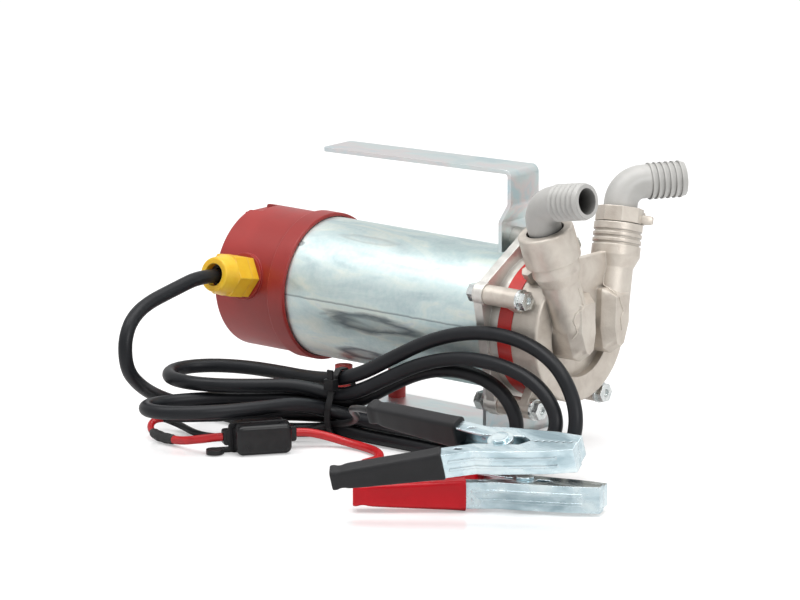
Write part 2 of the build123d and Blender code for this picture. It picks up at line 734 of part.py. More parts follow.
def bend_radii(points):
    """Arc radius at each inner point: 0.45 of the shorter run over the tangent of half the turn."""
    radii = []
    for before, here, after in zip(points, points[1:], points[2:]):
        run_in = Vector(*here) - Vector(*before)
        run_out = Vector(*after) - Vector(*here)
        half_turn = radians(run_in.get_angle(run_out) / 2)
        radii.append(0.45 * min(run_in.length, run_out.length) / tan(half_turn))
    return radii


def cord(name, points, radius):
    """Round cord along straight runs joined by tangent arcs."""
    radii = bend_radii(points)
    with BuildPart() as piece:
        with BuildLine() as route:
            FilletPolyline(*points, radius=radii)
        with BuildSketch(Plane(origin=points[0], z_dir=Vector(*points[1]) - Vector(*points[0]))):
            Circle(radius)
        sweep(path=route.line)
    path = route.wire()
    length = path.length
    share = piece.part.volume / (pi * radius ** 2 * length)
    shown = " ".join(f"{value:.0f}" for value in radii)
    print(f"{name} length {length:.0f} volume share {share:.4f} least radius {min(radii):.1f} radii {shown}")
    save(name, piece.part)
    return path


def least_gap(line, radius, steps=900):
    """Least gap between parts of one cord, on points more than three diameters apart along it."""
    count = steps + 1
    points = [tuple(line.position_at(step / steps)) for step in range(count)]
    skip = int(6 * radius / (line.length / steps)) + 1
    least = 1e9
    for first in range(count):
        for second in range(first + skip, count):
            least = min(least, dist(points[first], points[second]))
    return least - 2 * radius


def halfway(start, end):
    """Middle of a straight run, where one cord's solid ends and the next begins."""
    return tuple((Vector(*start) + Vector(*end)) * 0.5)


LANDING = (-70.0, -89.0, 4.4)
HANK_FLOOR = (-56.5, -91.5, 4.4)
HANK_START = halfway(LANDING, HANK_FLOOR)
GLAND_CABLE = [
    tuple(gland_plane(51).origin),
    tuple(gland_plane(79).origin),
    (-115.5, -106.0, 80.5),
    (-114.5, -130.0, 76.5),
    (-111.8, -145.5, 70.5),
    (-109.8, -153.4, 61.0),
    (-108.2, -155.6, 50.0),
    (-109.2, -151.5, 40.0),
    (-112.5, -141.0, 31.5),
    (-117.0, -126.5, 23.0),
    (-120.0, -111.0, 15.6),
    (-118.0, -97.0, 9.6),
    (-109.5, -87.0, 5.8),
    (-97.0, -83.5, 4.4),
    (-83.5, -85.0, 4.4),
    LANDING,
    HANK_START,
]

# The hank's strands cross its waist in two columns; each place is (Y, Z)
NEAR_COLUMN = -72.6
FAR_COLUMN = -62.3
LOW = 5.8
ROW = 9.9
SLOT_E = (NEAR_COLUMN, LOW)
SLOT_A_NEAR = (NEAR_COLUMN, LOW + ROW)
SLOT_B_NEAR = (NEAR_COLUMN, LOW + 2 * ROW)
SLOT_B_FAR = (NEAR_COLUMN, LOW + 3 * ROW)
SLOT_D = (FAR_COLUMN, LOW + 0.48 * ROW)
SLOT_A_FAR = (FAR_COLUMN, LOW + 1.42 * ROW)

# Upright loops against the pump: reach from the waist, crest Y, crest Z, floor Y, floor Z
UPRIGHT_LOOPS = [
    (172.0, -51.0, 74.5, -71.0, 4.4),
    (160.0, -57.5, 59.0, -72.0, 13.8),
    (123.0, -50.0, 48.0, -61.0, 4.4),
]

# One upright loop in shares of its reach and rise: along the floor, round the nose, back to the waist
LOOP_FLOOR = [(0.14, 0.0), (0.30, 0.004), (0.47, 0.0), (0.64, 0.004), (0.80, 0.0)]
LOOP_NOSE = [(0.925, 0.05), (0.992, 0.22), (0.995, 0.45), (0.945, 0.67), (0.855, 0.86), (0.73, 0.97)]
LOOP_RISE = [(0.59, 1.0), (0.45, 0.925), (0.32, 0.73), (0.20, 0.43), (0.10, 0.16)]

# Flat loops on the other side: heading from the waist, reach, half width, near and far heights
FLAT_LOOPS = {
    "b": (202.0, 109.0, 25.0, 31.6, 31.8),
    "a": (234.0, 120.0, 22.5, 24.9, 22.3),
}

# Half of a flat loop, in shares of its reach and half width; the other half mirrors it
FLAT_SHAPE = [
    (0.24, 0.42), (0.45, 0.78), (0.64, 1.0), (0.82, 0.95), (0.95, 0.60), (1.0, 0.0),
]


def waist_point(slot):
    return (WAIST_X, slot[0], slot[1])


def upright_points(loop, top_slot, outward_low):
    """One upright loop from waist to waist, its floor strand first or last."""
    reach, crest_y, crest_z, floor_y, floor_z = loop
    points = []
    for along, rise in LOOP_FLOOR + LOOP_NOSE:
        points.append((WAIST_X + reach * along,
                       floor_y + (crest_y - floor_y) * rise,
                       floor_z + (crest_z - floor_z) * rise))
    for along, rise in LOOP_RISE:
        points.append((WAIST_X + reach * along,
                       top_slot[0] + (crest_y - top_slot[0]) * rise,
                       top_slot[1] + (crest_z - top_slot[1]) * rise))
    return points if outward_low else points[::-1]


def flat_points(name, far_first):
    """One flat loop from waist to waist, its far strand first or last."""
    heading, reach, half, near_z, far_z = FLAT_LOOPS[name]
    ahead = Vector(cos(radians(heading)), sin(radians(heading)), 0)
    aside = Vector(ahead.Y, -ahead.X, 0)
    start = Vector(WAIST_X, (NEAR_COLUMN + FAR_COLUMN) / 2, 0)
    shape = FLAT_SHAPE + [(along, -out) for along, out in FLAT_SHAPE[-2::-1]]
    points = []
    for along, out in shape:
        spot = start + ahead * (reach * along) + aside * (half * out)
        height = (far_z + near_z) / 2 + (far_z - near_z) / 2 * out
        points.append((spot.X, spot.Y, height))
    return points if far_first else points[::-1]


hank_points = [HANK_START, HANK_FLOOR, (-43.0, -91.0, 4.4), (-29.5, -84.5, 5.0), waist_point(SLOT_E)]
hank_points += upright_points(UPRIGHT_LOOPS[0], SLOT_B_FAR, True)
hank_points += [waist_point(SLOT_B_FAR)] + flat_points("b", True) + [waist_point(SLOT_B_NEAR)]
hank_points += upright_points(UPRIGHT_LOOPS[1], SLOT_B_NEAR, False)
hank_points += [waist_point(SLOT_A_NEAR)] + flat_points("a", False) + [waist_point(SLOT_A_FAR)]
hank_points += upright_points(UPRIGHT_LOOPS[2], SLOT_A_FAR, False)
hank_points += [waist_point(SLOT_D), (-38.0, -80.0, 13.0), (-58.0, -103.5, 14.2), (-78.5, -122.8, 13.5),
                (-98.0, -133.0, 12.3)]

cord("power_cable", GLAND_CABLE, CABLE_R)
hank_line = cord("cable_hank", hank_points, CABLE_R)
print("hank least gap", round(least_gap(hank_line, CABLE_R), 2))

# Tie round the hank's waist, with its lock and a cut tail

TIE_W = 4.0
TIE_T = 1.0
TIE_OUTLINE = [
    (-77.3, 1.15), (-83.4, 9.0), (-84.4, 13.5), (-84.0, 20.0), (-77.0, 38.8), (-74.3, 41.8),
    (-69.0, 41.8), (-56.6, 23.0), (-57.0, 7.4), (-59.8, 4.0), (-71.5, 1.15),
]
with BuildPart() as cable_tie:
    with BuildSketch(Plane.YZ.offset(TIE_X - TIE_W / 2)):
        with BuildLine():
            Polyline(*TIE_OUTLINE, close=True)
        make_face()
        offset(amount=TIE_T)
        with BuildLine():
            Polyline(*TIE_OUTLINE, close=True)
        make_face(mode=Mode.SUBTRACT)
    extrude(amount=TIE_W)
    with BuildSketch(Plane.YZ.offset(TIE_X - 3.4)):
        with Locations((-81.4, 34.4)):
            Rectangle(5.2, 6.4)
    extrude(amount=6.8)
    with BuildSketch(Plane.YZ.offset(TIE_X - TIE_W / 2)):
        with Locations((-82.0, 40.2)):
            Rectangle(1.3, 6.0)
    extrude(amount=TIE_W)
save("cable_tie", cable_tie.part)

# Fuse holder on the red lead: a body with a blade fuse, and a cover that pulls off towards the near side

HOLDER_SPOT = (-30.0, -125.0)
HOLDER_HEADING = 55.0
HOLDER_LENGTH = 33.0
HOLDER_H = 17.5
BODY_BACK = -7.0
BODY_FACE = 1.0
COVER_DEPTH = 11.0
COVER_WALL = 1.4
LEAD_HEIGHT = 9.0
holder_along = Vector(cos(radians(HOLDER_HEADING)), sin(radians(HOLDER_HEADING)), 0)
holder_out = Vector(holder_along.Y, -holder_along.X, 0)


def holder_plane(out, height=0.2):
    """Upright plane parallel to the holder's face; local x runs along the lead, y is up."""
    origin = Vector(*HOLDER_SPOT, height) + holder_out * out
    return Plane(origin=origin, x_dir=holder_along, z_dir=holder_out)


with BuildPart() as fuse_holder:
    with BuildSketch(holder_plane(BODY_BACK)):
        with Locations((0, HOLDER_H / 2)):
            RectangleRounded(HOLDER_LENGTH, HOLDER_H, 3.0)
    extrude(amount=BODY_FACE - BODY_BACK)
    with BuildSketch(holder_plane(BODY_FACE - 2.0)):
        with Locations((-0.8, HOLDER_H / 2 + 0.2)):
            RectangleRounded(HOLDER_LENGTH + 3.6, HOLDER_H + 0.4, 3.2)
    extrude(amount=2.0)
    with BuildSketch(holder_plane(BODY_BACK + 1.0)):
        with Locations((-HOLDER_LENGTH / 2 - 2.2, LEAD_HEIGHT - 0.2)):
            RectangleRounded(6.4, 9.0, 1.5)
        with Locations((HOLDER_LENGTH / 2 + 2.2, LEAD_HEIGHT - 0.2)):
            RectangleRounded(6.4, 9.0, 1.5)
    extrude(amount=6.0)
    with BuildSketch(Plane(origin=(*HOLDER_SPOT, 0.5), x_dir=holder_along, z_dir=(0, 0, 1))):
        with Locations((-28.0, -2.4)):
            Circle(5.0)
        with Locations((-20.4, 0.6)):
            Rectangle(7.2, 3.4)
        with Locations((-24.6, -0.8)):
            Rectangle(4.0, 6.0)
    extrude(amount=2.8)
    with BuildSketch(holder_plane(BODY_FACE)):
        with Locations((0, LEAD_HEIGHT - 0.2)):
            Rectangle(15.0, 1.1)
    extrude(amount=-5.0, mode=Mode.SUBTRACT)
save("fuse_holder", fuse_holder.part)

with BuildPart() as fuse:
    with BuildSketch(holder_plane(BODY_FACE + 0.4)):
        with Locations((0, LEAD_HEIGHT - 0.2)):
            RectangleRounded(19.0, 5.0, 0.8)
    extrude(amount=7.6)
    with BuildSketch(holder_plane(BODY_FACE - 4.6)):
        with Locations((-5.0, LEAD_HEIGHT - 0.2), (5.0, LEAD_HEIGHT - 0.2)):
            Rectangle(4.6, 0.8)
    extrude(amount=5.2)
save("fuse", fuse.part)

with BuildPart() as fuse_cap:
    with BuildSketch(holder_plane(BODY_FACE + 0.1)):
        with Locations((0, HOLDER_H / 2)):
            RectangleRounded(HOLDER_LENGTH, HOLDER_H, 4.0)
    extrude(amount=COVER_DEPTH)
    fillet(fuse_cap.faces().sort_by(Axis(holder_plane(0).origin, holder_out))[-1].edges(), radius=2.6)
    with BuildSketch(holder_plane(BODY_FACE + 0.1)):
        with Locations((0, HOLDER_H / 2)):
            RectangleRounded(HOLDER_LENGTH - 2 * COVER_WALL, HOLDER_H - 2 * COVER_WALL, 2.8)
    extrude(amount=COVER_DEPTH - COVER_WALL, mode=Mode.SUBTRACT)
save("fuse_cap", fuse_cap.part)

# Battery clamps: two sprung arms on a rivet, each handle in a sleeve


def clamp_plane(pivot, heading, tip_up, roll):
    """A clamp's own plane: x to the jaw's tip, z along the rivet."""
    turn = radians(heading)
    rise = radians(tip_up)
    lean = radians(roll)
    tip = Vector(cos(turn) * cos(rise), sin(turn) * cos(rise), sin(rise))
    level = Vector(-sin(turn), cos(turn), 0)
    across_level = tip.cross(level)
    side = level * cos(lean) + across_level * sin(lean)
    return Plane(origin=pivot, x_dir=tip, z_dir=tip.cross(side))


CLAMPS = {
    "black": clamp_plane((186.5, -167.0, 42.4), 17.8, 3.2, 21.0),
    "red": clamp_plane((173.5, -130.9, 9.4), 23.1, 0.0, 0.0),
}
SIDES = {"near": -1, "far": 1}


def handle_y(reach):
    """Outer face of a handle at a distance behind the rivet."""
    return ARM_OUTER_Y + max(0.0, reach - HANDLE_BEND_X) * tan(radians(HANDLE_SLOPE))


SLEEVE_LENGTH = (HANDLE_LENGTH - SLEEVE_START) / cos(radians(HANDLE_SLOPE))


def tapered(half_height, distance):
    """Half height of a handle or sleeve at a distance behind the sleeve's start."""
    return half_height - HANDLE_TAPER * distance / SLEEVE_LENGTH


def handle_plane(clamp, side, reach, depth):
    """Plane square to a handle, at a reach behind the rivet and a depth in from its outer face."""
    slope = radians(HANDLE_SLOPE)
    spot = clamp.from_local_coords(Vector(-reach, side * (handle_y(reach) - depth), 0))
    outward = clamp.from_local_coords(Vector(-cos(slope), side * sin(slope), 0)) - clamp.origin
    return Plane(origin=spot, x_dir=clamp.z_dir, z_dir=outward)


def handle_side(clamp, side):
    """Plane in a handle's middle: x back along the handle from the sleeve's start, y along the rivet."""
    start = handle_plane(clamp, side, SLEEVE_START, ARM_DEPTH / 2)
    return Plane(origin=start.origin, x_dir=start.z_dir, z_dir=start.y_dir)


def arm(name, clamp, side, half_height, rivet_hole):
    """Stamped channel with a toothed jaw, ears round the rivet and a handle."""
    inner = [(-HANDLE_LENGTH, handle_y(HANDLE_LENGTH) - ARM_DEPTH), (-14.0, handle_y(14.0) - ARM_DEPTH),
             (13.0, 5.0), (19.0, 0.3)]
    teeth = []
    for tooth in range(6):
        teeth += [(22.0 + 4 * tooth, 1.9), (24.0 + 4 * tooth, 0.3)]
    outer = [(JAW_LENGTH, 0.3), (JAW_LENGTH, 8.0), (30.0, 11.0), (0.0, ARM_OUTER_Y),
             (-HANDLE_BEND_X, ARM_OUTER_Y), (-HANDLE_LENGTH, handle_y(HANDLE_LENGTH))]
    profile = [(x, side * y) for x, y in inner + teeth + outer]
    web = [(JAW_LENGTH - ARM_T, 8.0), (30.0, 11.0), (0.0, ARM_OUTER_Y),
           (-HANDLE_BEND_X, ARM_OUTER_Y), (-HANDLE_LENGTH - 2, handle_y(HANDLE_LENGTH + 2))]
    hollow = [(x, side * (y - ARM_T)) for x, y in web] + [(-HANDLE_LENGTH - 2, -side * 12.0),
                                                         (JAW_LENGTH - ARM_T, -side * 12.0)]
    rib = [(36.0, 9.9), (30.0, 11.0), (0.0, ARM_OUTER_Y), (-HANDLE_BEND_X, ARM_OUTER_Y),
           (-26.0, handle_y(26.0))]
    rib_band = [(x, side * (y + 0.7)) for x, y in rib] + [(x, side * (y - 0.5)) for x, y in rib[::-1]]
    with BuildPart() as piece:
        with BuildSketch(clamp):
            with BuildLine():
                Polyline(*profile, close=True)
            make_face()
            Circle(7.4)
        extrude(amount=half_height, both=True)
        with BuildSketch(clamp):
            with BuildLine():
                Polyline(*hollow, close=True)
            make_face()
        extrude(amount=half_height - ARM_T, both=True, mode=Mode.SUBTRACT)
        for level in (-3.4, 1.8):
            with BuildSketch(clamp.offset(level)):
                with BuildLine():
                    Polyline(*rib_band, close=True)
                make_face()
            extrude(amount=1.6)
        with BuildSketch(clamp):
            Circle(rivet_hole)
            with Locations((-21.5, side * 11.5)):
                SlotOverall(5.0, 1.8)
        extrude(amount=half_height + 1, both=True, mode=Mode.SUBTRACT)
        with BuildSketch(handle_plane(clamp, side, CRIMP_REACH, ARM_DEPTH / 2)):
            Rectangle(2 * half_height - ARM_T, ARM_DEPTH - ARM_T)
        extrude(amount=-ARM_T)
        tail = SLEEVE_LENGTH + 2
        wedge = [(0, half_height), (tail, tapered(half_height, tail)), (tail, half_height + 1),
                 (0, half_height + 1)]
        with BuildSketch(handle_side(clamp, side)):
            for edge in (-1, 1):
                with BuildLine():
                    Polyline(*[(x, edge * y) for x, y in wedge], close=True)
                make_face()
        extrude(amount=ARM_DEPTH, both=True, mode=Mode.SUBTRACT)
    save(name, piece.part)


def sleeve(name, clamp, side, half_height):
    """Flat tapered grip with a neck and an open end bead."""
    start = handle_plane(clamp, side, SLEEVE_START, ARM_DEPTH / 2)
    neck = SLEEVE_LENGTH - 6.0
    end_height = tapered(SLEEVE_H, neck)
    with BuildPart() as piece:
        for reach, height in ((0.0, SLEEVE_H), (neck, end_height)):
            with BuildSketch(start.offset(reach)):
                RectangleRounded(2 * height, SLEEVE_W, 3.0)
        loft()
        with BuildSketch(start.offset(neck)):
            RectangleRounded(2 * (end_height - 0.9), SLEEVE_W - 1.8, 1.4)
        extrude(amount=3.5)
        with BuildSketch(start.offset(neck + 3.5)):
            RectangleRounded(2 * end_height, SLEEVE_W, 3.0)
        extrude(amount=4.0)
        for reach in (-1.0, SLEEVE_LENGTH + 3):
            with BuildSketch(start.offset(reach)):
                Rectangle(2 * tapered(half_height, reach) + 0.04, ARM_DEPTH + 0.04)
        loft(mode=Mode.SUBTRACT)
    save(name, piece.part)


COIL_R = 4.6
COIL_WIRE_R = 0.7
COIL_PITCH = 2.0
COIL_H = 6.0
for colour, clamp in CLAMPS.items():
    arm(f"{colour}_near_arm", clamp, -1, NEAR_ARM_H, RIVET_R + RUNNING_GAP)
    arm(f"{colour}_far_arm", clamp, 1, FAR_ARM_H, RIVET_R + 0.02)
    sleeve(f"{colour}_near_sleeve", clamp, -1, NEAR_ARM_H)
    sleeve(f"{colour}_far_sleeve", clamp, 1, FAR_ARM_H)
    with BuildPart() as rivet:
        with BuildSketch(clamp.offset(-NEAR_ARM_H - 0.1)):
            Circle(RIVET_R)
        extrude(amount=2 * NEAR_ARM_H + 0.2)
        for level in (NEAR_ARM_H + 0.1, -NEAR_ARM_H - 1.5):
            with BuildSketch(clamp.offset(level)):
                Circle(5.0)
            extrude(amount=1.4)
    save(f"{colour}_rivet", rivet.part)
    with BuildPart() as spring:
        with BuildLine() as coil:
            Helix(pitch=COIL_PITCH, height=COIL_H, radius=COIL_R,
                  center=clamp.offset(-COIL_H / 2).origin, direction=clamp.z_dir)
        with BuildSketch(Plane(origin=coil.line @ 0, z_dir=coil.line % 0)):
            Circle(COIL_WIRE_R)
        sweep(path=coil.line)
    print(f"{colour} spring least gap", round(COIL_PITCH - 2 * COIL_WIRE_R, 2))
    save(f"{colour}_spring", spring.part)

# Cores and leads: from the hank's end, through the fuse holder, to the far handle of each clamp

hank_end = Vector(*hank_points[-1])
end_run = (hank_end - Vector(*hank_points[-2])).normalized()
core_rise = (Vector(0, 0, 1) - end_run * end_run.Z).normalized() * 2.1
LEAD_REACH = HOLDER_LENGTH / 2 + 5.4
lead_middle = Vector(*HOLDER_SPOT, LEAD_HEIGHT) + holder_out * (BODY_BACK + 4.0)
lead_in = lead_middle - holder_along * LEAD_REACH
lead_out = lead_middle + holder_along * LEAD_REACH


def handle_entry(colour):
    """Last points of a wire that ends at the crimp in a clamp's far handle, outermost first."""
    clamp = CLAMPS[colour]
    mouth = handle_plane(clamp, 1, SLEEVE_REACH, ARM_DEPTH / 2)
    crimp = handle_plane(clamp, 1, CRIMP_REACH, ARM_DEPTH / 2)
    return [tuple(mouth.origin), tuple(crimp.origin)]


RED_BEND = (-100.5, -142.6, 5.6)
RED_FLOOR = (-95.0, -145.3, 4.0)
RED_STRAIGHT = (-80.5, -147.3, 3.3)
RED_ONWARD = (-72.8, -148.6, 3.9)
RED_CORE = [
    tuple(hank_end - core_rise),
    tuple(hank_end - core_rise + end_run * 4.3),
    (-103.2, -138.8, 8.0),
    RED_BEND,
    halfway(RED_BEND, RED_FLOOR),
]
RED_JOINT = [
    RED_CORE[-1],
    RED_FLOOR,
    (-88.0, -146.7, 3.3),
    RED_STRAIGHT,
    halfway(RED_STRAIGHT, RED_ONWARD),
]
RED_LEAD = [
    RED_JOINT[-1],
    RED_ONWARD,
    (-65.5, -149.8, 5.2),
    (-58.6, -149.9, 6.8),
    (-52.2, -147.9, 8.1),
    tuple(lead_in - holder_along * 3.3),
    tuple(lead_in),
]
RED_WIRE = [
    tuple(lead_out),
    tuple(lead_out + holder_along * 6.4),
    (-8.0, -92.0, 6.4),
    (3.5, -87.5, 3.6),
    (16.5, -87.3, 2.8),
    (29.0, -90.5, 2.8),
    (39.0, -97.5, 2.8),
    (43.9, -107.5, 2.8),
    (45.5, -118.0, 3.6),
    (50.8, -127.3, 5.6),
    (59.2, -133.6, 7.8),
    *handle_entry("red"),
]
BLACK_CORE = [
    tuple(hank_end + core_rise),
    tuple(hank_end + core_rise + end_run * 5.2),
    (-108.3, -134.3, 12.6),
    (-110.8, -128.6, 10.0),
    (-108.6, -122.3, 7.0),
    (-102.5, -118.6, 4.4),
    (-94.0, -119.0, 2.8),
    (-84.0, -123.0, 2.3),
    (-72.5, -124.6, 2.3),
    (-60.5, -120.0, 2.3),
    (-48.0, -110.5, 2.3),
    (-35.5, -100.0, 3.0),
    (-24.8, -90.5, 6.6),
    (-14.8, -78.6, 10.0),
    (-0.1, -82.2, 13.1),
    (16.0, -93.4, 19.5),
    (32.5, -111.2, 28.0),
    (47.1, -132.4, 36.7),
    (63.2, -152.5, 44.8),
    *handle_entry("black"),
]
cord("red_core", RED_CORE, CORE_R)
cord("heat_shrink", RED_JOINT, 3.0)
cord("red_lead", RED_LEAD, LEAD_R)
cord("red_wire", RED_WIRE, LEAD_R)
cord("black_core", BLACK_CORE, CORE_R)
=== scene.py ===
import bpy
import json
from math import radians, sin, cos, tan
from mathutils import Matrix, Vector


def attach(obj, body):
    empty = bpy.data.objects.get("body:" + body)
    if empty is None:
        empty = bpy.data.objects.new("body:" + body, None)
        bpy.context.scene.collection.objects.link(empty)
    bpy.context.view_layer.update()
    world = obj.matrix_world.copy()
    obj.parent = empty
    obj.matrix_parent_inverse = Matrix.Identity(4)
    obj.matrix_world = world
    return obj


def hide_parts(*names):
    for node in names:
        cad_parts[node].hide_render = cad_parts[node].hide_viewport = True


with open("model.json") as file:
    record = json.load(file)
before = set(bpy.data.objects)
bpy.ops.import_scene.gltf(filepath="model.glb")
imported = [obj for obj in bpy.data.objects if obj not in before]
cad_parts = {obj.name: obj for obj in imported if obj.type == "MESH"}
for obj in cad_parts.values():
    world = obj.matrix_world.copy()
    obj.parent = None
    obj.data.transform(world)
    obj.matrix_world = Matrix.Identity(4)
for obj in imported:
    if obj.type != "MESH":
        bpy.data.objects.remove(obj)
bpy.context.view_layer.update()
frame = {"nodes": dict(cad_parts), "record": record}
nodes = frame["nodes"]

MM = 0.001


def mm(*values):
    """A place or size written in millimetres, as metres."""
    return Vector(values) * MM


# Finishes: every one is a set of shader nodes on Object coordinates

EDGE_ROUND = 0.35 * MM
EDGE_SAMPLES = 6
HOLLOW_SAMPLES = 8


def new_finish(name, metallic=0.0, roughness=0.4, edge=EDGE_ROUND, **sockets):
    """A material with its shader, object coordinates and a rounded-edge normal ready."""
    finish = bpy.data.materials.new(name)
    finish.use_nodes = True
    tree = finish.node_tree
    shader = tree.nodes["Principled BSDF"]
    shader.inputs["Metallic"].default_value = metallic
    shader.inputs["Roughness"].default_value = roughness
    for socket, value in sockets.items():
        shader.inputs[socket.replace("_", " ")].default_value = value
    place = tree.nodes.new("ShaderNodeTexCoord").outputs["Object"]
    soft_edge = tree.nodes.new("ShaderNodeBevel")
    soft_edge.samples = EDGE_SAMPLES
    soft_edge.inputs["Radius"].default_value = edge
    return finish, tree, shader, place, soft_edge.outputs["Normal"]


def stretched(tree, place, along=(1, 1, 1), shift=(0, 0, 0)):
    """Object coordinates drawn out along an axis, for streaks and brushing."""
    mapping = tree.nodes.new("ShaderNodeMapping")
    mapping.inputs["Scale"].default_value = along
    mapping.inputs["Location"].default_value = shift
    tree.links.new(place, mapping.inputs["Vector"])
    return mapping.outputs["Vector"]


def clouds(tree, place, size, detail=4.0, rough=0.55, warp=0.0):
    """Soft noise whose patches are about size metres across."""
    noise = tree.nodes.new("ShaderNodeTexNoise")
    noise.inputs["Scale"].default_value = 1 / size
    noise.inputs["Detail"].default_value = detail
    noise.inputs["Roughness"].default_value = rough
    noise.inputs["Distortion"].default_value = warp
    tree.links.new(place, noise.inputs["Vector"])
    return noise.outputs["Fac"]


def ramp(tree, value, stops):
    """Colour that follows a value through the given stops."""
    band = tree.nodes.new("ShaderNodeValToRGB")
    elements = band.color_ramp.elements
    while len(elements) < len(stops):
        elements.new(0.5)
    for element, (at, colour) in zip(elements, stops):
        element.position = at
        element.color = (*colour, 1.0)
    tree.links.new(value, band.inputs["Fac"])
    return band.outputs["Color"]


def spread(tree, value, low, high, start=0.3, end=0.7):
    """A value mapped from start..end to low..high."""
    mapped = tree.nodes.new("ShaderNodeMapRange")
    mapped.inputs["From Min"].default_value = start
    mapped.inputs["From Max"].default_value = end
    mapped.inputs["To Min"].default_value = low
    mapped.inputs["To Max"].default_value = high
    tree.links.new(value, mapped.inputs["Value"])
    return mapped.outputs["Result"]


def mixed(tree, factor, first, second, blend="MIX"):
    """Two colours mixed by a factor; each is a socket or an RGB triple."""
    mix = tree.nodes.new("ShaderNodeMix")
    mix.data_type = "RGBA"
    mix.blend_type = blend
    pairs = ((mix.inputs["Factor"], factor), (mix.inputs["A"], first), (mix.inputs["B"], second))
    for socket, value in pairs:
        if isinstance(value, bpy.types.NodeSocket):
            tree.links.new(value, socket)
        elif isinstance(value, (int, float)):
            socket.default_value = value
        else:
            socket.default_value = (*value, 1.0)
    return mix.outputs["Result"]


def product(tree, *values):
    """Several masks multiplied together."""
    result = values[0]
    for value in values[1:]:
        times = tree.nodes.new("ShaderNodeMath")
        times.operation = "MULTIPLY"
        tree.links.new(result, times.inputs[0])
        tree.links.new(value, times.inputs[1])
        result = times.outputs[0]
    return result


def scaled(tree, value, share):
    """A mask times a plain number."""
    times = tree.nodes.new("ShaderNodeMath")
    times.operation = "MULTIPLY"
    times.inputs[1].default_value = share
    tree.links.new(value, times.inputs[0])
    return times.outputs[0]


def bumped(tree, height, normal, depth):
    """Normal raised by a height value; depth is in metres."""
    bump = tree.nodes.new("ShaderNodeBump")
    bump.inputs["Distance"].default_value = depth
    bump.inputs["Strength"].default_value = 1.0
    tree.links.new(height, bump.inputs["Height"])
    tree.links.new(normal, bump.inputs["Normal"])
    return bump.outputs["Normal"]


def edge_wear_and_sheen(tree, soft_edge, reach=0.02):
    """Mask that is 1 along sharp edges, where the rounded normal leaves the true one: used for edge wear and
    a painted edge highlight.
    """
    true = tree.nodes.new("ShaderNodeNewGeometry").outputs["Normal"]
    dot = tree.nodes.new("ShaderNodeVectorMath")
    dot.operation = "DOT_PRODUCT"
    tree.links.new(soft_edge, dot.inputs[0])
    tree.links.new(true, dot.inputs[1])
    return spread(tree, dot.outputs["Value"], 1.0, 0.0, 1 - reach * 6, 1 - reach)


def hollow_shade(tree, colour, reach, dark):
    """Painted shade: colour that goes down to the dark share of itself in hollows narrower than reach."""
    hollow = tree.nodes.new("ShaderNodeAmbientOcclusion")
    hollow.samples = HOLLOW_SAMPLES
    hollow.inputs["Distance"].default_value = reach
    depth = spread(tree, hollow.outputs["AO"], 1.0 - dark, 0.0, 0.05, 0.75)
    return mixed(tree, depth, colour, (0.0, 0.0, 0.0))


def plain_finish(name, tones, metallic=0.0, rough=(0.3, 0.45), patch=12 * MM, grain=0.4 * MM,
                 depth=0.02 * MM, along=(1, 1, 1), edge_tone=None, edge_share=0.5, edge=EDGE_ROUND,
                 hollow=None, **sockets):
    """A finish with cloudy tone, varied gloss and fine grain.

    edge_tone gives lighter edges, partly wear and partly a painted highlight, and hollow (reach, dark) gives
    painted shade in hollows.
    """
    finish, tree, shader, place, normal = new_finish(name, metallic, 0.4, edge, **sockets)
    drawn = stretched(tree, place, along)
    cloud = clouds(tree, drawn, patch, warp=0.4)
    fine = clouds(tree, drawn, grain, detail=3.0)
    colour = ramp(tree, cloud, tones)
    # Edges lightened towards edge_tone: partly wear, partly a painted highlight
    if edge_tone:
        colour = mixed(tree, scaled(tree, edge_wear_and_sheen(tree, normal), edge_share), colour, edge_tone)
    # Painted shade: hollows darkened towards black by ambient occlusion
    if hollow:
        colour = hollow_shade(tree, colour, *hollow)
    tree.links.new(colour, shader.inputs["Base Color"])
    tree.links.new(spread(tree, cloud, rough[0], rough[1]), shader.inputs["Roughness"])
    tree.links.new(bumped(tree, fine, normal, depth), shader.inputs["Normal"])
    return finish


# The tube's seam: its lower edge, darkest line and upper edge
SEAM_LOW = 72.0 * MM
SEAM_HEIGHT = 72.5 * MM
SEAM_HIGH = 73.6 * MM

# Painted reflections of dark things on the tube: middle along X and Z, half sizes, and how dark
TUBE_PAINTED_REFLECTIONS = [
    (mm(-16, 0, 63.5), mm(42, 0, 6.5), 0.85),
    (mm(-31, 0, 41.0), mm(22, 0, 4.5), 0.85),
    (mm(-36, 0, 107.5), mm(26, 0, 1.6), 0.22),
    (mm(-84, 0, 100.8), mm(5, 0, 1.5), 0.70),
]


def painted_reflection_mask(tree, place, spot, half_size):
    """Mask of one painted dark reflection: darkest round its rim, with a ragged edge."""
    across = (1 / half_size.x, 0, 1 / half_size.z)
    shift = (-spot.x / half_size.x, 0, -spot.z / half_size.z)
    length = tree.nodes.new("ShaderNodeVectorMath")
    length.operation = "LENGTH"
    tree.links.new(stretched(tree, place, across, shift), length.inputs[0])
    ragged = tree.nodes.new("ShaderNodeMath")
    ragged.operation = "MULTIPLY_ADD"
    ragged.inputs[1].default_value = 1.1
    torn = clouds(tree, stretched(tree, place, (0.16, 1, 1)), 5 * MM, detail=5.0, warp=0.6)
    tree.links.new(torn, ragged.inputs[0])
    tree.links.new(length.outputs["Value"], ragged.inputs[2])
    return product(tree, spread(tree, ragged.outputs[0], 1.0, 0.0, 1.25, 1.60),
                   spread(tree, ragged.outputs[0], 0.30, 1.0, 0.85, 1.20))


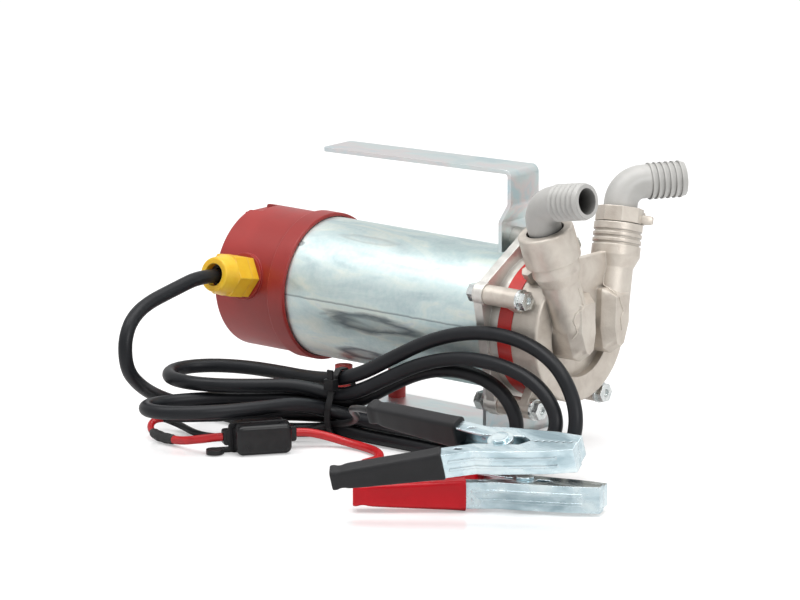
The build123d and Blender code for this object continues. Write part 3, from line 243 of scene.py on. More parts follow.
def tube_zinc_finish():
    """Galvanised sheet: cloudy blue-green drawn out along the tube, a thin seam and a few painted dark
    reflections.
    """
    finish, tree, shader, place, normal = new_finish("tube_zinc", 1.0)
    drawn = stretched(tree, place, (0.35, 1, 1))
    cloud = clouds(tree, drawn, 16 * MM, detail=5.0, warp=1.2)
    mottle = clouds(tree, place, 3.0 * MM, detail=4.0, rough=0.6)
    base = ramp(tree, cloud, [(0.30, (0.50, 0.62, 0.64)), (0.48, (0.62, 0.74, 0.74)),
                              (0.62, (0.74, 0.80, 0.75)), (0.75, (0.60, 0.70, 0.76))])
    speckle = ramp(tree, mottle, [(0.35, (0.45, 0.52, 0.52)), (0.65, (0.98, 1.0, 0.98))])
    base = mixed(tree, 0.16, base, speckle, "OVERLAY")
    split = tree.nodes.new("ShaderNodeSeparateXYZ")
    tree.links.new(place, split.inputs["Vector"])
    side = spread(tree, split.outputs["Y"], 1.0, 0.0, -36 * MM, -34 * MM)
    waver = clouds(tree, stretched(tree, place, (1, 0.2, 0.2)), 9 * MM)
    level = tree.nodes.new("ShaderNodeMath")
    level.operation = "MULTIPLY_ADD"
    level.inputs[1].default_value = 1.2 * MM
    tree.links.new(waver, level.inputs[0])
    tree.links.new(split.outputs["Z"], level.inputs[2])
    seam_up = spread(tree, level.outputs[0], 0.0, 1.0, SEAM_LOW, SEAM_HEIGHT)
    seam_down = spread(tree, level.outputs[0], 1.0, 0.0, SEAM_HEIGHT, SEAM_HIGH)
    seam = product(tree, seam_up, seam_down, side)
    base = mixed(tree, scaled(tree, seam, 0.75), base, (0.16, 0.20, 0.22))
    # Painted reflections of the dark cable hank, only on the tube's near half
    near_half = spread(tree, split.outputs["Y"], 1.0, 0.0, -14 * MM, -8 * MM)
    for spot, half_size, share in TUBE_PAINTED_REFLECTIONS:
        dark_reflection = product(tree, painted_reflection_mask(tree, place, spot, half_size), near_half)
        base = mixed(tree, scaled(tree, dark_reflection, share), base, (0.13, 0.16, 0.18))
    tree.links.new(base, shader.inputs["Base Color"])
    tree.links.new(spread(tree, cloud, 0.40, 0.54), shader.inputs["Roughness"])
    wave = clouds(tree, drawn, 30 * MM, detail=2.0)
    normal = bumped(tree, wave, normal, 0.5 * MM)
    tree.links.new(bumped(tree, mottle, normal, 0.05 * MM), shader.inputs["Normal"])
    return finish


# hollow=(reach, dark) paints shade into hollows
FINISHES = {
    "tube_zinc": tube_zinc_finish(),
    "strip_zinc": plain_finish(
        "strip_zinc", [(0.30, (0.50, 0.66, 0.70)), (0.46, (0.68, 0.76, 0.76)),
                       (0.57, (0.74, 0.70, 0.70)), (0.68, (0.56, 0.70, 0.74))],
        metallic=1.0, rough=(0.30, 0.42), patch=26 * MM, grain=0.5 * MM, depth=0.015 * MM,
        along=(0.5, 1, 1), edge_tone=(0.93, 0.94, 0.93)),
    "bolt_zinc": plain_finish(
        "bolt_zinc", [(0.35, (0.62, 0.66, 0.66)), (0.65, (0.84, 0.86, 0.85))], metallic=1.0,
        rough=(0.18, 0.32), patch=4 * MM, grain=0.3 * MM, depth=0.01 * MM, edge_tone=(0.95, 0.95, 0.95)),
    "clamp_zinc": plain_finish(
        "clamp_zinc", [(0.32, (0.38, 0.50, 0.55)), (0.48, (0.60, 0.73, 0.78)), (0.66, (0.78, 0.88, 0.90))],
        metallic=1.0, rough=(0.20, 0.32), patch=10 * MM, grain=0.6 * MM, depth=0.012 * MM,
        along=(0.35, 1, 1), edge_tone=(0.96, 0.98, 0.99), edge=0.7 * MM),
    "plain_steel": plain_finish(
        "plain_steel", [(0.35, (0.50, 0.50, 0.50)), (0.65, (0.66, 0.66, 0.66))], metallic=1.0,
        rough=(0.25, 0.4), along=(1, 0.2, 0.2)),
    "core_steel": plain_finish(
        "core_steel", [(0.35, (0.16, 0.16, 0.17)), (0.65, (0.26, 0.26, 0.28))], metallic=1.0,
        rough=(0.45, 0.6), along=(8, 1, 1)),
    "magnet": plain_finish("magnet", [(0.35, (0.06, 0.06, 0.065)), (0.65, (0.09, 0.09, 0.095))],
                           rough=(0.6, 0.75)),
    "copper": plain_finish(
        "copper", [(0.35, (0.62, 0.30, 0.16)), (0.65, (0.80, 0.44, 0.26))], metallic=1.0, rough=(0.25, 0.4),
        grain=0.9 * MM, depth=0.08 * MM),
    "carbon": plain_finish("carbon", [(0.35, (0.03, 0.03, 0.03)), (0.65, (0.06, 0.06, 0.06))],
                           rough=(0.5, 0.7)),
    "brown_resin": plain_finish(
        "brown_resin", [(0.35, (0.14, 0.08, 0.045)), (0.65, (0.20, 0.12, 0.07))], rough=(0.4, 0.55)),
    "cap_red": plain_finish(
        "cap_red", [(0.30, (0.30, 0.020, 0.017)), (0.70, (0.37, 0.028, 0.024))], rough=(0.36, 0.46),
        patch=30 * MM, grain=0.35 * MM, depth=0.02 * MM, edge_tone=(0.62, 0.16, 0.14), edge_share=0.6,
        edge=0.6 * MM),
    "gland_yellow": plain_finish(
        "gland_yellow", [(0.30, (0.90, 0.49, 0.018)), (0.70, (0.98, 0.61, 0.04))], rough=(0.32, 0.42),
        patch=10 * MM, edge_tone=(0.98, 0.76, 0.22), edge=0.7 * MM, Subsurface_Weight=0.08),
    "seal_black": plain_finish("seal_black", [(0.35, (0.018, 0.018, 0.018)), (0.65, (0.03, 0.03, 0.03))],
                               rough=(0.5, 0.65)),
    "pad_red": plain_finish("pad_red", [(0.35, (0.50, 0.03, 0.03)), (0.65, (0.60, 0.05, 0.045))],
                            rough=(0.4, 0.5), patch=6 * MM),
    "flange_alloy": plain_finish(
        "flange_alloy", [(0.32, (0.66, 0.64, 0.60)), (0.68, (0.80, 0.78, 0.74))], metallic=0.85,
        rough=(0.34, 0.5), patch=9 * MM, grain=0.9 * MM, depth=0.09 * MM, edge_tone=(0.94, 0.93, 0.90),
        edge=0.6 * MM, hollow=(12 * MM, 0.45)),
    "ring_red": plain_finish("ring_red", [(0.35, (0.56, 0.025, 0.022)), (0.65, (0.66, 0.035, 0.03))],
                             rough=(0.28, 0.38), patch=8 * MM),
    "impeller_brass": plain_finish(
        "impeller_brass", [(0.35, (0.62, 0.44, 0.18)), (0.65, (0.80, 0.60, 0.28))], metallic=1.0,
        rough=(0.25, 0.4)),
    "cover_alloy": plain_finish(
        "cover_alloy", [(0.28, (0.56, 0.495, 0.43)), (0.50, (0.66, 0.60, 0.53)), (0.72, (0.74, 0.685, 0.61))],
        metallic=0.45, rough=(0.32, 0.48), patch=11 * MM, grain=1.1 * MM, depth=0.13 * MM,
        edge_tone=(0.86, 0.81, 0.74), edge_share=0.6, edge=0.9 * MM, hollow=(14 * MM, 0.45)),
    # Painted shade darkens the elbow's bore right down to black
    "elbow_grey": plain_finish(
        "elbow_grey", [(0.30, (0.47, 0.465, 0.445)), (0.70, (0.54, 0.53, 0.51))], rough=(0.32, 0.44),
        patch=14 * MM, grain=0.5 * MM, depth=0.012 * MM, edge_tone=(0.62, 0.61, 0.59), edge=0.5 * MM,
        hollow=(32 * MM, 0.0)),
    "jacket_black": plain_finish(
        "jacket_black", [(0.30, (0.008, 0.009, 0.011)), (0.70, (0.014, 0.015, 0.018))], rough=(0.34, 0.46),
        patch=25 * MM, grain=0.5 * MM, depth=0.02 * MM, hollow=(12 * MM, 0.3), Specular_IOR_Level=0.25),
    "tie_black": plain_finish("tie_black", [(0.35, (0.008, 0.008, 0.009)), (0.65, (0.014, 0.014, 0.015))],
                              rough=(0.3, 0.42), patch=4 * MM, Specular_IOR_Level=0.34),
    "holder_black": plain_finish(
        "holder_black", [(0.35, (0.007, 0.007, 0.008)), (0.65, (0.013, 0.013, 0.014))], rough=(0.26, 0.38),
        patch=7 * MM, edge_tone=(0.05, 0.05, 0.055), edge=0.8 * MM, Specular_IOR_Level=0.36),
    "fuse_orange": plain_finish("fuse_orange", [(0.35, (0.75, 0.20, 0.03)), (0.65, (0.85, 0.26, 0.05))],
                                rough=(0.15, 0.25)),
    "wire_red": plain_finish("wire_red", [(0.35, (0.56, 0.012, 0.016)), (0.65, (0.66, 0.02, 0.025))],
                             rough=(0.28, 0.4), patch=9 * MM),
    "wire_black": plain_finish("wire_black", [(0.35, (0.008, 0.008, 0.009)), (0.65, (0.014, 0.014, 0.015))],
                               rough=(0.34, 0.45), patch=9 * MM, Specular_IOR_Level=0.34),
    "shrink_black": plain_finish("shrink_black", [(0.35, (0.02, 0.02, 0.02)), (0.65, (0.035, 0.035, 0.035))],
                                 rough=(0.5, 0.62), patch=4 * MM, grain=1.2 * MM, depth=0.15 * MM),
    "sleeve_black": plain_finish(
        "sleeve_black", [(0.30, (0.011, 0.011, 0.012)), (0.70, (0.019, 0.019, 0.021))], rough=(0.46, 0.6),
        patch=16 * MM, grain=0.7 * MM, depth=0.05 * MM, edge_tone=(0.08, 0.08, 0.085), edge=0.8 * MM,
        hollow=(7 * MM, 0.2), Specular_IOR_Level=0.30),
    "sleeve_red": plain_finish(
        "sleeve_red", [(0.30, (0.64, 0.004, 0.012)), (0.70, (0.74, 0.007, 0.018))], rough=(0.26, 0.38),
        patch=16 * MM, grain=0.9 * MM, depth=0.05 * MM, edge_tone=(0.84, 0.10, 0.12), edge=0.8 * MM,
        hollow=(7 * MM, 0.35), Specular_IOR_Level=0.34),
}

for part in frame["record"]["subparts"]:
    mesh = nodes[part["node"]].data
    mesh.materials.clear()
    mesh.materials.append(FINISHES[part["material_slot"]])


def finish_piece(piece, slot_name, body="pump", *replaced):
    """Gives a modelled piece its material and body, and hides the nodes that it stands for."""
    piece.data.materials.clear()
    piece.data.materials.append(FINISHES[slot_name])
    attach(piece, body)
    if replaced:
        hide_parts(*replaced)


# Camera, at the far end of a long lens

camera = bpy.data.objects.new("camera", bpy.data.cameras.new("camera"))
bpy.context.scene.collection.objects.link(camera)
camera.location = (2.51909, -3.03599, 0.94778)
camera.rotation_euler = (radians(77.5), 0, radians(40))
camera.data.lens = 306.9
camera.data.sensor_width = 36.0
camera.data.clip_end = 50.0
bpy.context.scene.camera = camera

# Cords: the routes of the solids, in metres

MOTOR_AXIS_Z = 70.0
GLAND_X = -115.0
GLAND_TILT = radians(11.5)


def gland_place(rho):
    """Point on the gland's axis, rho mm from the motor's axis."""
    return (GLAND_X, -cos(GLAND_TILT) * rho, MOTOR_AXIS_Z + sin(GLAND_TILT) * rho)


def cord_line(name, points, radius, finish, body="pump"):
    """A round cord: one smooth open spline with the route's points as its control points."""
    curve = bpy.data.curves.new(name, "CURVE")
    curve.dimensions = "3D"
    spline = curve.splines.new("NURBS")
    spline.points.add(len(points) - 1)
    for control, point in zip(spline.points, points):
        control.co = (*(Vector(point) * MM), 1.0)
    spline.order_u = 3
    spline.use_endpoint_u = True
    spline.resolution_u = 10
    curve.bevel_depth = radius * MM
    curve.bevel_resolution = 6
    curve.use_fill_caps = True
    line = bpy.data.objects.new(name, curve)
    bpy.context.scene.collection.objects.link(line)
    finish_piece(line, finish, body)
    return line


def spline_points(line):
    """Points along a cord's own spline, as the curve gives them with no bevel."""
    bare = line.data.copy()
    bare.bevel_depth = 0.0
    bare.use_fill_caps = False
    holder = bpy.data.objects.new("bare_line", bare)
    mesh = bpy.data.meshes.new_from_object(holder)
    places = [vertex.co.copy() for vertex in mesh.vertices]
    bpy.data.objects.remove(holder)
    bpy.data.curves.remove(bare)
    bpy.data.meshes.remove(mesh)
    return places


def line_length(places):
    """Length of a line of points, in metres."""
    return sum((after - before).length for before, after in zip(places, places[1:]))


CABLE_R = 4.25
CORE_R = 2.0
LEAD_R = 2.5

# The hank: its waist at the tie, the slots of the strands there, and the two sets of loops
WAIST_X = -15.0
NEAR_COLUMN = -72.6
FAR_COLUMN = -62.3
LOW = 5.8
ROW = 9.9
SLOT_E = (NEAR_COLUMN, LOW)
SLOT_A_NEAR = (NEAR_COLUMN, LOW + ROW)
SLOT_B_NEAR = (NEAR_COLUMN, LOW + 2 * ROW)
SLOT_B_FAR = (NEAR_COLUMN, LOW + 3 * ROW)
SLOT_D = (FAR_COLUMN, LOW + 0.48 * ROW)
SLOT_A_FAR = (FAR_COLUMN, LOW + 1.42 * ROW)
# Each upright loop: reach, crest's Y and Z, floor strand's Y and Z
UPRIGHT_LOOPS = [
    (172.0, -51.0, 74.5, -71.0, 4.4),
    (160.0, -57.5, 59.0, -72.0, 13.8),
    (123.0, -50.0, 48.0, -61.0, 4.4),
]
# Shares of the reach and of the rise, along the floor, round the nose and back over the top
LOOP_FLOOR = [(0.14, 0.0), (0.30, 0.004), (0.47, 0.0), (0.64, 0.004), (0.80, 0.0)]
LOOP_NOSE = [(0.925, 0.05), (0.992, 0.22), (0.995, 0.45), (0.945, 0.67), (0.855, 0.86), (0.73, 0.97)]
LOOP_RISE = [(0.59, 1.0), (0.45, 0.925), (0.32, 0.73), (0.20, 0.43), (0.10, 0.16)]
# Each flat loop: heading, reach, half width, near and far height; then its outline
FLAT_LOOPS = {"b": (202.0, 109.0, 25.0, 31.6, 31.8), "a": (234.0, 120.0, 22.5, 24.9, 22.3)}
FLAT_SHAPE = [(0.24, 0.42), (0.45, 0.78), (0.64, 1.0), (0.82, 0.95), (0.95, 0.60), (1.0, 0.0)]


def waist_point(slot):
    """Where a strand passes through the tie."""
    return (WAIST_X, slot[0], slot[1])


def upright_points(loop, top_slot, outward_low):
    """One upright loop from waist to waist, its floor strand first or last."""
    reach, crest_y, crest_z, floor_y, floor_z = loop
    points = []
    for along, rise in LOOP_FLOOR + LOOP_NOSE:
        points.append((WAIST_X + reach * along, floor_y + (crest_y - floor_y) * rise,
                       floor_z + (crest_z - floor_z) * rise))
    for along, rise in LOOP_RISE:
        points.append((WAIST_X + reach * along, top_slot[0] + (crest_y - top_slot[0]) * rise,
                       top_slot[1] + (crest_z - top_slot[1]) * rise))
    return points if outward_low else points[::-1]


def flat_points(name, far_first):
    """One flat loop from waist to waist, its far strand first or last."""
    heading, reach, half, near_z, far_z = FLAT_LOOPS[name]
    ahead = Vector((cos(radians(heading)), sin(radians(heading)), 0))
    aside = Vector((ahead.y, -ahead.x, 0))
    start = Vector((WAIST_X, (NEAR_COLUMN + FAR_COLUMN) / 2, 0))
    shape = FLAT_SHAPE + [(along, -out) for along, out in FLAT_SHAPE[-2::-1]]
    points = []
    for along, out in shape:
        spot = start + ahead * (reach * along) + aside * (half * out)
        points.append((spot.x, spot.y, (far_z + near_z) / 2 + (far_z - near_z) / 2 * out))
    return points if far_first else points[::-1]


cable_route = [
    gland_place(51), gland_place(79), (-115.5, -106.0, 80.5), (-114.5, -130.0, 76.5), (-111.8, -145.5, 70.5),
    (-109.8, -153.4, 61.0), (-108.2, -155.6, 50.0), (-109.2, -151.5, 40.0), (-112.5, -141.0, 31.5),
    (-117.0, -126.5, 23.0), (-120.0, -111.0, 15.6), (-118.0, -97.0, 9.6), (-109.5, -87.0, 5.8),
    (-97.0, -83.5, 4.4), (-83.5, -85.0, 4.4), (-70.0, -89.0, 4.4), (-56.5, -91.5, 4.4), (-43.0, -91.0, 4.4),
    (-29.5, -84.5, 5.0), waist_point(SLOT_E),
]
cable_route += upright_points(UPRIGHT_LOOPS[0], SLOT_B_FAR, True)
cable_route += [waist_point(SLOT_B_FAR)] + flat_points("b", True) + [waist_point(SLOT_B_NEAR)]
cable_route += upright_points(UPRIGHT_LOOPS[1], SLOT_B_NEAR, False)
cable_route += [waist_point(SLOT_A_NEAR)] + flat_points("a", False) + [waist_point(SLOT_A_FAR)]
cable_route += upright_points(UPRIGHT_LOOPS[2], SLOT_A_FAR, False)
cable_route += [waist_point(SLOT_D), (-38.0, -80.0, 13.0), (-58.0, -103.5, 14.2), (-78.5, -122.8, 13.5),
                (-98.0, -133.0, 12.3)]

cable = cord_line("battery_cable", cable_route, CABLE_R, "jacket_black")
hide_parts("power_cable", "cable_hank")

# Where the cores leave the jacket, and the fuse holder between its leads
hank_end = Vector(cable_route[-1])
end_run = (hank_end - Vector(cable_route[-2])).normalized()
CORE_OFFSET = 2.1
core_rise = (Vector((0, 0, 1)) - end_run * end_run.z).normalized() * CORE_OFFSET
HOLDER_SPOT = Vector((-30.0, -125.0, 0.0))
HOLDER_HEADING = radians(55.0)
HOLDER_HALF = 21.9
holder_along = Vector((cos(HOLDER_HEADING), sin(HOLDER_HEADING), 0))
holder_out = Vector((holder_along.y, -holder_along.x, 0))
lead_middle = HOLDER_SPOT + Vector((0, 0, 9.0)) - holder_out * 3.0
lead_in = lead_middle - holder_along * HOLDER_HALF
lead_out = lead_middle + holder_along * HOLDER_HALF


def clamp_frame(pivot, heading, tip_up, roll):
    """A clamp's own frame in mm: x to the jaw's tip, y across, z along the rivet."""
    turn, rise, lean = radians(heading), radians(tip_up), radians(roll)
    tip = Vector((cos(turn) * cos(rise), sin(turn) * cos(rise), sin(rise)))
    level = Vector((-sin(turn), cos(turn), 0))
    side = level * cos(lean) + tip.cross(level) * sin(lean)
    turned = Matrix((tip, side, tip.cross(side))).transposed().to_4x4()
    return Matrix.Translation(pivot) @ turned


CLAMPS = {
    "black": clamp_frame((186.5, -167.0, 42.4), 17.8, 3.2, 21.0),
    "red": clamp_frame((173.5, -130.9, 9.4), 23.1, 0.0, 0.0),
}
HANDLE_SLOPE = radians(17.3)
HANDLE_START = 12.0
HANDLE_ROOT = 13.5
ARM_DEPTH = 8.4


def handle_y(reach):
    """Outer face of a handle, reach mm behind the rivet."""
    return HANDLE_ROOT + max(0.0, reach - HANDLE_START) * tan(HANDLE_SLOPE)


def handle_frame(colour, side, reach):
    """Frame on a handle's middle line: x along the rivet, z back along the handle."""
    local_z = Vector((-cos(HANDLE_SLOPE), side * sin(HANDLE_SLOPE), 0))
    local_x = Vector((0, 0, 1))
    turned = Matrix((local_x, local_z.cross(local_x), local_z)).transposed().to_4x4()
    spot = Matrix.Translation((-reach, side * (handle_y(reach) - ARM_DEPTH / 2), 0))
    return CLAMPS[colour] @ spot @ turned


def handle_entry(colour):
    """Last two points of a clamp's wire, inside the end of its far sleeve."""
    return [tuple(handle_frame(colour, 1, reach).translation) for reach in (97.7, 86.0)]


red_route = [
    tuple(hank_end - core_rise), tuple(hank_end - core_rise + end_run * 4.3), (-103.2, -138.8, 8.0),
    (-100.5, -142.6, 5.6), (-95.0, -145.3, 4.0), (-88.0, -146.7, 3.3), (-80.5, -147.3, 3.3),
    (-72.8, -148.6, 3.9), (-65.5, -149.8, 5.2), (-58.6, -149.9, 6.8), (-52.2, -147.9, 8.1),
    tuple(lead_in - holder_along * 3.3), tuple(lead_in),
]
wire_route = [
    tuple(lead_out), tuple(lead_out + holder_along * 6.4), (-8.0, -92.0, 6.4), (3.5, -87.5, 3.6),
    (16.5, -87.3, 2.8), (29.0, -90.5, 2.8), (39.0, -97.5, 2.8), (43.9, -107.5, 2.8), (45.5, -118.0, 3.6),
    (50.8, -127.3, 5.6), (59.2, -133.6, 7.8), *handle_entry("red"),
]
black_route = [
    tuple(hank_end + core_rise), tuple(hank_end + core_rise + end_run * 5.2), (-108.3, -134.3, 12.6),
    (-110.8, -128.6, 10.0), (-108.6, -122.3, 7.0), (-102.5, -118.6, 4.4), (-94.0, -119.0, 2.8),
    (-84.0, -123.0, 2.3), (-72.5, -124.6, 2.3), (-60.5, -120.0, 2.3), (-48.0, -110.5, 2.3),
    (-35.5, -100.0, 3.0), (-24.8, -90.5, 6.6), (-14.8, -78.6, 10.0), (-0.1, -82.2, 13.1),
    (16.0, -93.4, 19.5), (32.5, -111.2, 28.0), (47.1, -132.4, 36.7), (63.2, -152.5, 44.8),
    *handle_entry("black"),
]
red_line = cord_line("red_core_line", red_route, CORE_R, "wire_red")
red_wire_line = cord_line("red_clamp_wire", wire_route, LEAD_R, "wire_red")
black_line = cord_line("black_clamp_wire", black_route, CORE_R, "wire_black")
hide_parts("red_core")
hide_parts("red_wire")
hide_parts("black_core")


def drawn_tube(name, places, radii, slot_name, body="pump"):
    """A closed tube drawn through places, with one radius at each, turned into a mesh."""
    bpy.ops.object.select_all(action="DESELECT")
    curve = bpy.data.curves.new(name, "CURVE")
    curve.dimensions = "3D"
    spline = curve.splines.new("POLY")
    spline.points.add(len(places) - 1)
    for control, place, radius in zip(spline.points, places, radii):
        control.co = (*place, 1.0)
        control.radius = radius / MM
    curve.bevel_depth = MM
    curve.bevel_resolution = 4
    curve.use_fill_caps = True
    tube = bpy.data.objects.new(name, curve)
    bpy.context.scene.collection.objects.link(tube)
    bpy.context.view_layer.objects.active = tube
    tube.select_set(True)
    bpy.ops.object.convert(target="MESH")
    tube = bpy.context.active_object
    bpy.ops.object.mode_set(mode="EDIT")
    bpy.ops.mesh.select_all(action="SELECT")
    bpy.ops.mesh.remove_doubles(threshold=0.01 * MM)
    bpy.ops.mesh.normals_make_consistent(inside=False)
    bpy.ops.object.mode_set(mode="OBJECT")
    bpy.ops.object.shade_smooth_by_angle(angle=radians(50))
    finish_piece(tube, slot_name, body)
    return tube


def part_of_line(places, start, end, count):
    """Evenly spaced points between two distances along a line of points."""
    gaps = [0.0]
    for before, after in zip(places, places[1:]):
        gaps.append(gaps[-1] + (after - before).length)
    found = []
    for step in range(count):
        wanted = start + (end - start) * step / (count - 1)
        index = max(i for i, gap in enumerate(gaps[:-1]) if gap <= wanted + 1e-9)
        share = (wanted - gaps[index]) / max(gaps[index + 1] - gaps[index], 1e-9)
        found.append(places[index].lerp(places[index + 1], min(share, 1.0)))
    return found


red_places = spline_points(red_line)
red_total = line_length(red_places)
SHRINK_START = 17 * MM
SHRINK_END = 38.5 * MM
SHRINK_RINGS = 26
LEAD_RINGS = 30
shrink_places = part_of_line(red_places, SHRINK_START, SHRINK_END, SHRINK_RINGS)
shrink_radii = []
for index in range(SHRINK_RINGS):
    share = index / (SHRINK_RINGS - 1)
    shrink_radii.append((2.15 + 0.95 * min(1, 6 * share, 9 * (1 - share)) + 0.12 * sin(share * 21)) * MM)
shrink = drawn_tube("joint_sleeve", shrink_places, shrink_radii, "shrink_black")
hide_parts("heat_shrink")
lead_places = part_of_line(red_places, SHRINK_END - 2 * MM, red_total - 0.2 * MM, LEAD_RINGS)
lead = drawn_tube("fuse_lead", lead_places, [LEAD_R * MM] * LEAD_RINGS, "wire_red")
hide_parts("red_lead")


# Grip sleeves: a rounded rectangle drawn back along each handle, with finger waves, a neck and an open end

SLEEVE_HEIGHT = 18 * MM
SLEEVE_WIDTH = 11 * MM
SLEEVE_START = 30.0
SLEEVE_LENGTH = 62.8
SLEEVE_TAPER = 0.31
FINGER_WAVES = 4
WAVE_PITCH = 12.0
# Each section: distance back from the sleeve's start, share of the height, share of the width
SLEEVE_SECTIONS = [(0.0, 0.99, 1.0), (1.0, 1.03, 1.03), (3.0, 1.0, 1.0)]
for wave in range(FINGER_WAVES):
    for back, dip in ((4.0, 1.0), (9.0, 0.95)):
        reach = 3.0 + wave * WAVE_PITCH + back
        SLEEVE_SECTIONS.append((reach, 1.0 - SLEEVE_TAPER * reach / SLEEVE_LENGTH, dip))
SLEEVE_SECTIONS += [(55.2, 0.72, 0.98), (57.0, 0.64, 0.86), (60.0, 0.64, 0.86), (61.2, 0.71, 0.96),
                    (63.4, 0.71, 0.96), (64.2, 0.68, 0.90)]


def grip_sleeve(colour, side, place, body):
    """Tapered grip on one clamp handle, closed inside its open end."""
    bpy.ops.object.select_all(action="DESELECT")
    bpy.ops.mesh.primitive_plane_add(size=1.0, location=(0, 0, 0))
    grip = bpy.context.active_object
    grip.name = f"{colour}_{place}_grip"
    bpy.ops.object.mode_set(mode="EDIT")
    bpy.ops.mesh.select_all(action="SELECT")
    bpy.ops.transform.resize(value=(SLEEVE_HEIGHT, SLEEVE_WIDTH, 1), center_override=(0, 0, 0))
    bpy.ops.mesh.bevel(offset=3.2 * MM, segments=4, affect="VERTICES")
    past, tall, deep = SLEEVE_SECTIONS[0]
    bpy.ops.transform.resize(value=(tall, deep, 1), center_override=(0, 0, 0))
    for reach, new_tall, new_deep in SLEEVE_SECTIONS[1:]:
        bpy.ops.mesh.extrude_region_move(TRANSFORM_OT_translate={"value": (0, 0, (reach - past) * MM)})
        bpy.ops.transform.resize(value=(new_tall / tall, new_deep / deep, 1),
                                 center_override=(0, 0, reach * MM))
        past, tall, deep = reach, new_tall, new_deep
    bpy.ops.mesh.inset(thickness=1.5 * MM)
    bpy.ops.mesh.extrude_region_move(TRANSFORM_OT_translate={"value": (0, 0, -3.0 * MM)})
    bpy.ops.mesh.select_all(action="SELECT")
    bpy.ops.mesh.normals_make_consistent(inside=False)
    bpy.ops.object.mode_set(mode="OBJECT")
    smoother = grip.modifiers.new("smoother", "SUBSURF")
    smoother.levels = smoother.render_levels = 2
    bpy.ops.object.modifier_apply(modifier=smoother.name)
    seat = handle_frame(colour, side, SLEEVE_START)
    seat.translation = seat.translation * MM
    grip.matrix_world = seat
    bpy.ops.object.transform_apply(location=True, rotation=True, scale=True)
    bpy.ops.object.shade_smooth_by_angle(angle=radians(50))
    finish_piece(grip, f"sleeve_{colour}", body, f"{colour}_{place}_sleeve")
    return grip


for colour in CLAMPS:
    grip_sleeve(colour, -1, "near", f"{colour}_handle")
    grip_sleeve(colour, 1, "far", "pump")


# Parting ridges down the fronts of the two ports

RIDGE_R = 0.55 * MM
RIDGE_STEPS = 5
AHEAD_OF_COVER = 200
RIDGES = {
    "near": [(-22.6, 101.7), (-19.8, 94.7), (-19.7, 91.1), (-25.3, 86.7), (-26.1, 82.7), (-23.3, 76.3),
             (-24.2, 71.7)],
    "far": [(12.8, 102.8), (11.0, 95.4), (13.9, 87.7), (16.8, 81.9), (14.1, 78.2), (15.1, 70.8)],
}
cover = nodes["pump_cover"]
for port, outline in RIDGES.items():
    spots = []
    for before, after in zip(outline, outline[1:]):
        for step in range(RIDGE_STEPS):
            spots.append(Vector(before).lerp(Vector(after), step / RIDGE_STEPS))
    spots.append(Vector(outline[-1]))
    ridge = []
    for spot in spots:
        hit, place, _, _ = cover.ray_cast(mm(AHEAD_OF_COVER, *spot), (-1, 0, 0))
        if hit:
            ridge.append(place)
    drawn_tube(f"{port}_ridge", ridge, [RIDGE_R] * len(ridge), "cover_alloy")


# Finger tab on the far union nut

FAR_PORT_FOOT = mm(117, 15.6, 73)
FAR_PORT_AXIS = Vector((-0.10452846, 0.29077006, 0.95106602))
TAB_ALONG = 62.6 * MM
TAB_OUT = 13.8 * MM
TAB_ROOT = mm(6.0, 5.0, 5.4)
TAB_REACH = 3.2 * MM


def nut_tab():
    """A stubby bevelled tab, cast on the side of the nut, square to the nut's axis."""
    axis = FAR_PORT_AXIS
    outward = Vector((0.77, 0.63, 0.0))
    outward = (outward - axis * outward.dot(axis)).normalized()
    bpy.ops.object.select_all(action="DESELECT")
    bpy.ops.mesh.primitive_cube_add(size=1.0, location=(0, 0, 0))
    tab = bpy.context.active_object
    tab.name = "far_nut_tab"
    bpy.ops.object.mode_set(mode="EDIT")
    bpy.ops.mesh.select_all(action="SELECT")
    bpy.ops.transform.resize(value=TAB_ROOT, center_override=(0, 0, 0))
    bpy.ops.mesh.select_all(action="DESELECT")
    bpy.ops.object.mode_set(mode="OBJECT")
    for face in tab.data.polygons:
        face.select = face.normal.x > 0.9
    bpy.ops.object.mode_set(mode="EDIT")
    bpy.ops.mesh.extrude_region_move(TRANSFORM_OT_translate={"value": (TAB_REACH, 0, 0)})
    bpy.ops.transform.resize(value=(1, 0.78, 0.82), center_override=(TAB_ROOT.x / 2 + TAB_REACH, 0, 0))
    bpy.ops.mesh.select_all(action="SELECT")
    bpy.ops.mesh.bevel(offset=0.8 * MM, segments=3)
    bpy.ops.mesh.normals_make_consistent(inside=False)
    bpy.ops.object.mode_set(mode="OBJECT")
    turned = Matrix((outward, axis.cross(outward), axis)).transposed().to_4x4()
    middle = FAR_PORT_FOOT + axis * TAB_ALONG + outward * TAB_OUT
    tab.matrix_world = Matrix.Translation(middle) @ turned
    bpy.ops.object.transform_apply(location=True, rotation=True, scale=True)
    bpy.ops.object.shade_smooth_by_angle(angle=radians(40))
    finish_piece(tab, "cover_alloy", "far_nut")


nut_tab()


# Floor, world and lamps

FLOOR_SIZE = 12.0
FLOOR_DROP = 0.2 * MM
FLOOR_GLOW = 0.36
SKY_LIGHT = 0.46
SKY_GLOSS = 0.62

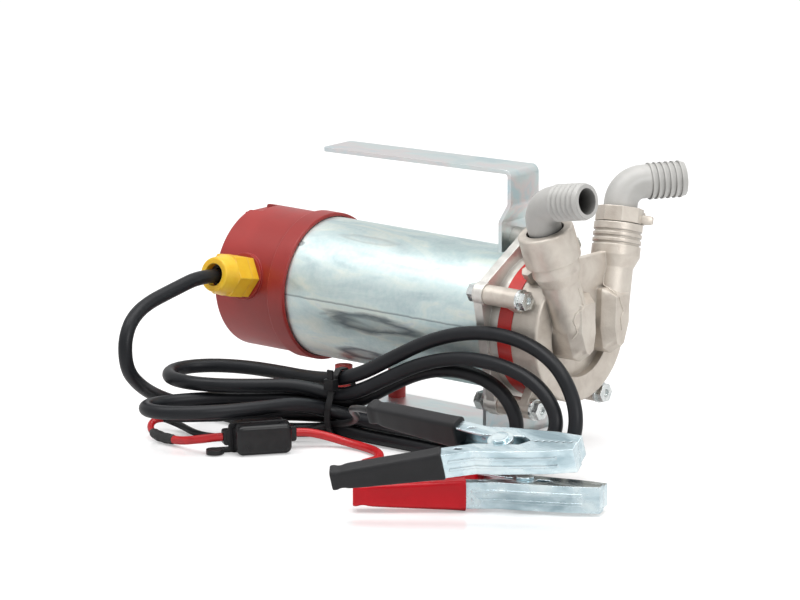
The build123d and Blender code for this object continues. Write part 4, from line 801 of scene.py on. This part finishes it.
bpy.ops.mesh.primitive_plane_add(size=FLOOR_SIZE, location=(0, 0, -FLOOR_DROP))
floor = bpy.context.active_object
floor.name = "floor"
floor_paint = bpy.data.materials.new("floor_paint")
floor_paint.use_nodes = True
floor_tree = floor_paint.node_tree
floor_shader = floor_tree.nodes["Principled BSDF"]
floor_shader.inputs["Base Color"].default_value = (0.90, 0.90, 0.90, 1)
floor_shader.inputs["Roughness"].default_value = 0.16
floor_shader.inputs["Specular IOR Level"].default_value = 0.55
floor_shader.inputs["Emission Color"].default_value = (1, 1, 1, 1)
camera_ray = floor_tree.nodes.new("ShaderNodeLightPath").outputs["Is Camera Ray"]
floor_tree.links.new(scaled(floor_tree, camera_ray, FLOOR_GLOW), floor_shader.inputs["Emission Strength"])
floor.data.materials.append(floor_paint)

world = bpy.context.scene.world or bpy.data.worlds.new("world")
bpy.context.scene.world = world
world.use_nodes = True
sky = world.node_tree
sky_shader = sky.nodes["Background"]
sky_rays = sky.nodes.new("ShaderNodeLightPath")
seen = sky.nodes.new("ShaderNodeMath")
seen.operation = "MAXIMUM"
sky.links.new(sky_rays.outputs["Is Camera Ray"], seen.inputs[0])
gloss = scaled(sky, sky_rays.outputs["Is Glossy Ray"], SKY_GLOSS)
sky.links.new(gloss, seen.inputs[1])
sky_shader.inputs["Color"].default_value = (1, 1, 1, 1)
sky_level = sky.nodes.new("ShaderNodeMapRange")
sky_level.inputs["To Min"].default_value = SKY_LIGHT
sky_level.inputs["To Max"].default_value = 1.0
sky.links.new(seen.outputs[0], sky_level.inputs["Value"])
sky.links.new(sky_level.outputs["Result"], sky_shader.inputs["Strength"])


def soft_lamp(name, place, aim, size, watts):
    """Large soft area lamp aimed at a point."""
    light = bpy.data.lights.new(name, "AREA")
    light.shape = "RECTANGLE"
    light.size, light.size_y = size
    light.energy = watts
    lamp = bpy.data.objects.new(name, light)
    bpy.context.scene.collection.objects.link(lamp)
    lamp.location = place
    lamp.rotation_euler = (Vector(aim) - Vector(place)).to_track_quat("-Z", "Y").to_euler()


soft_lamp("top_lamp", (0.1, 0.0, 1.5), (0, 0, 0), (1.4, 1.0), 14.0)
soft_lamp("side_lamp", (-0.8, -0.9, 2.1), (0, 0, 0.05), (0.9, 0.9), 13.0)
soft_lamp("front_lamp", (1.9, -0.5, 1.2), (0.1, 0, 0.08), (0.7, 0.7), 12.0)

bpy.context.scene.view_settings.view_transform = "Standard"
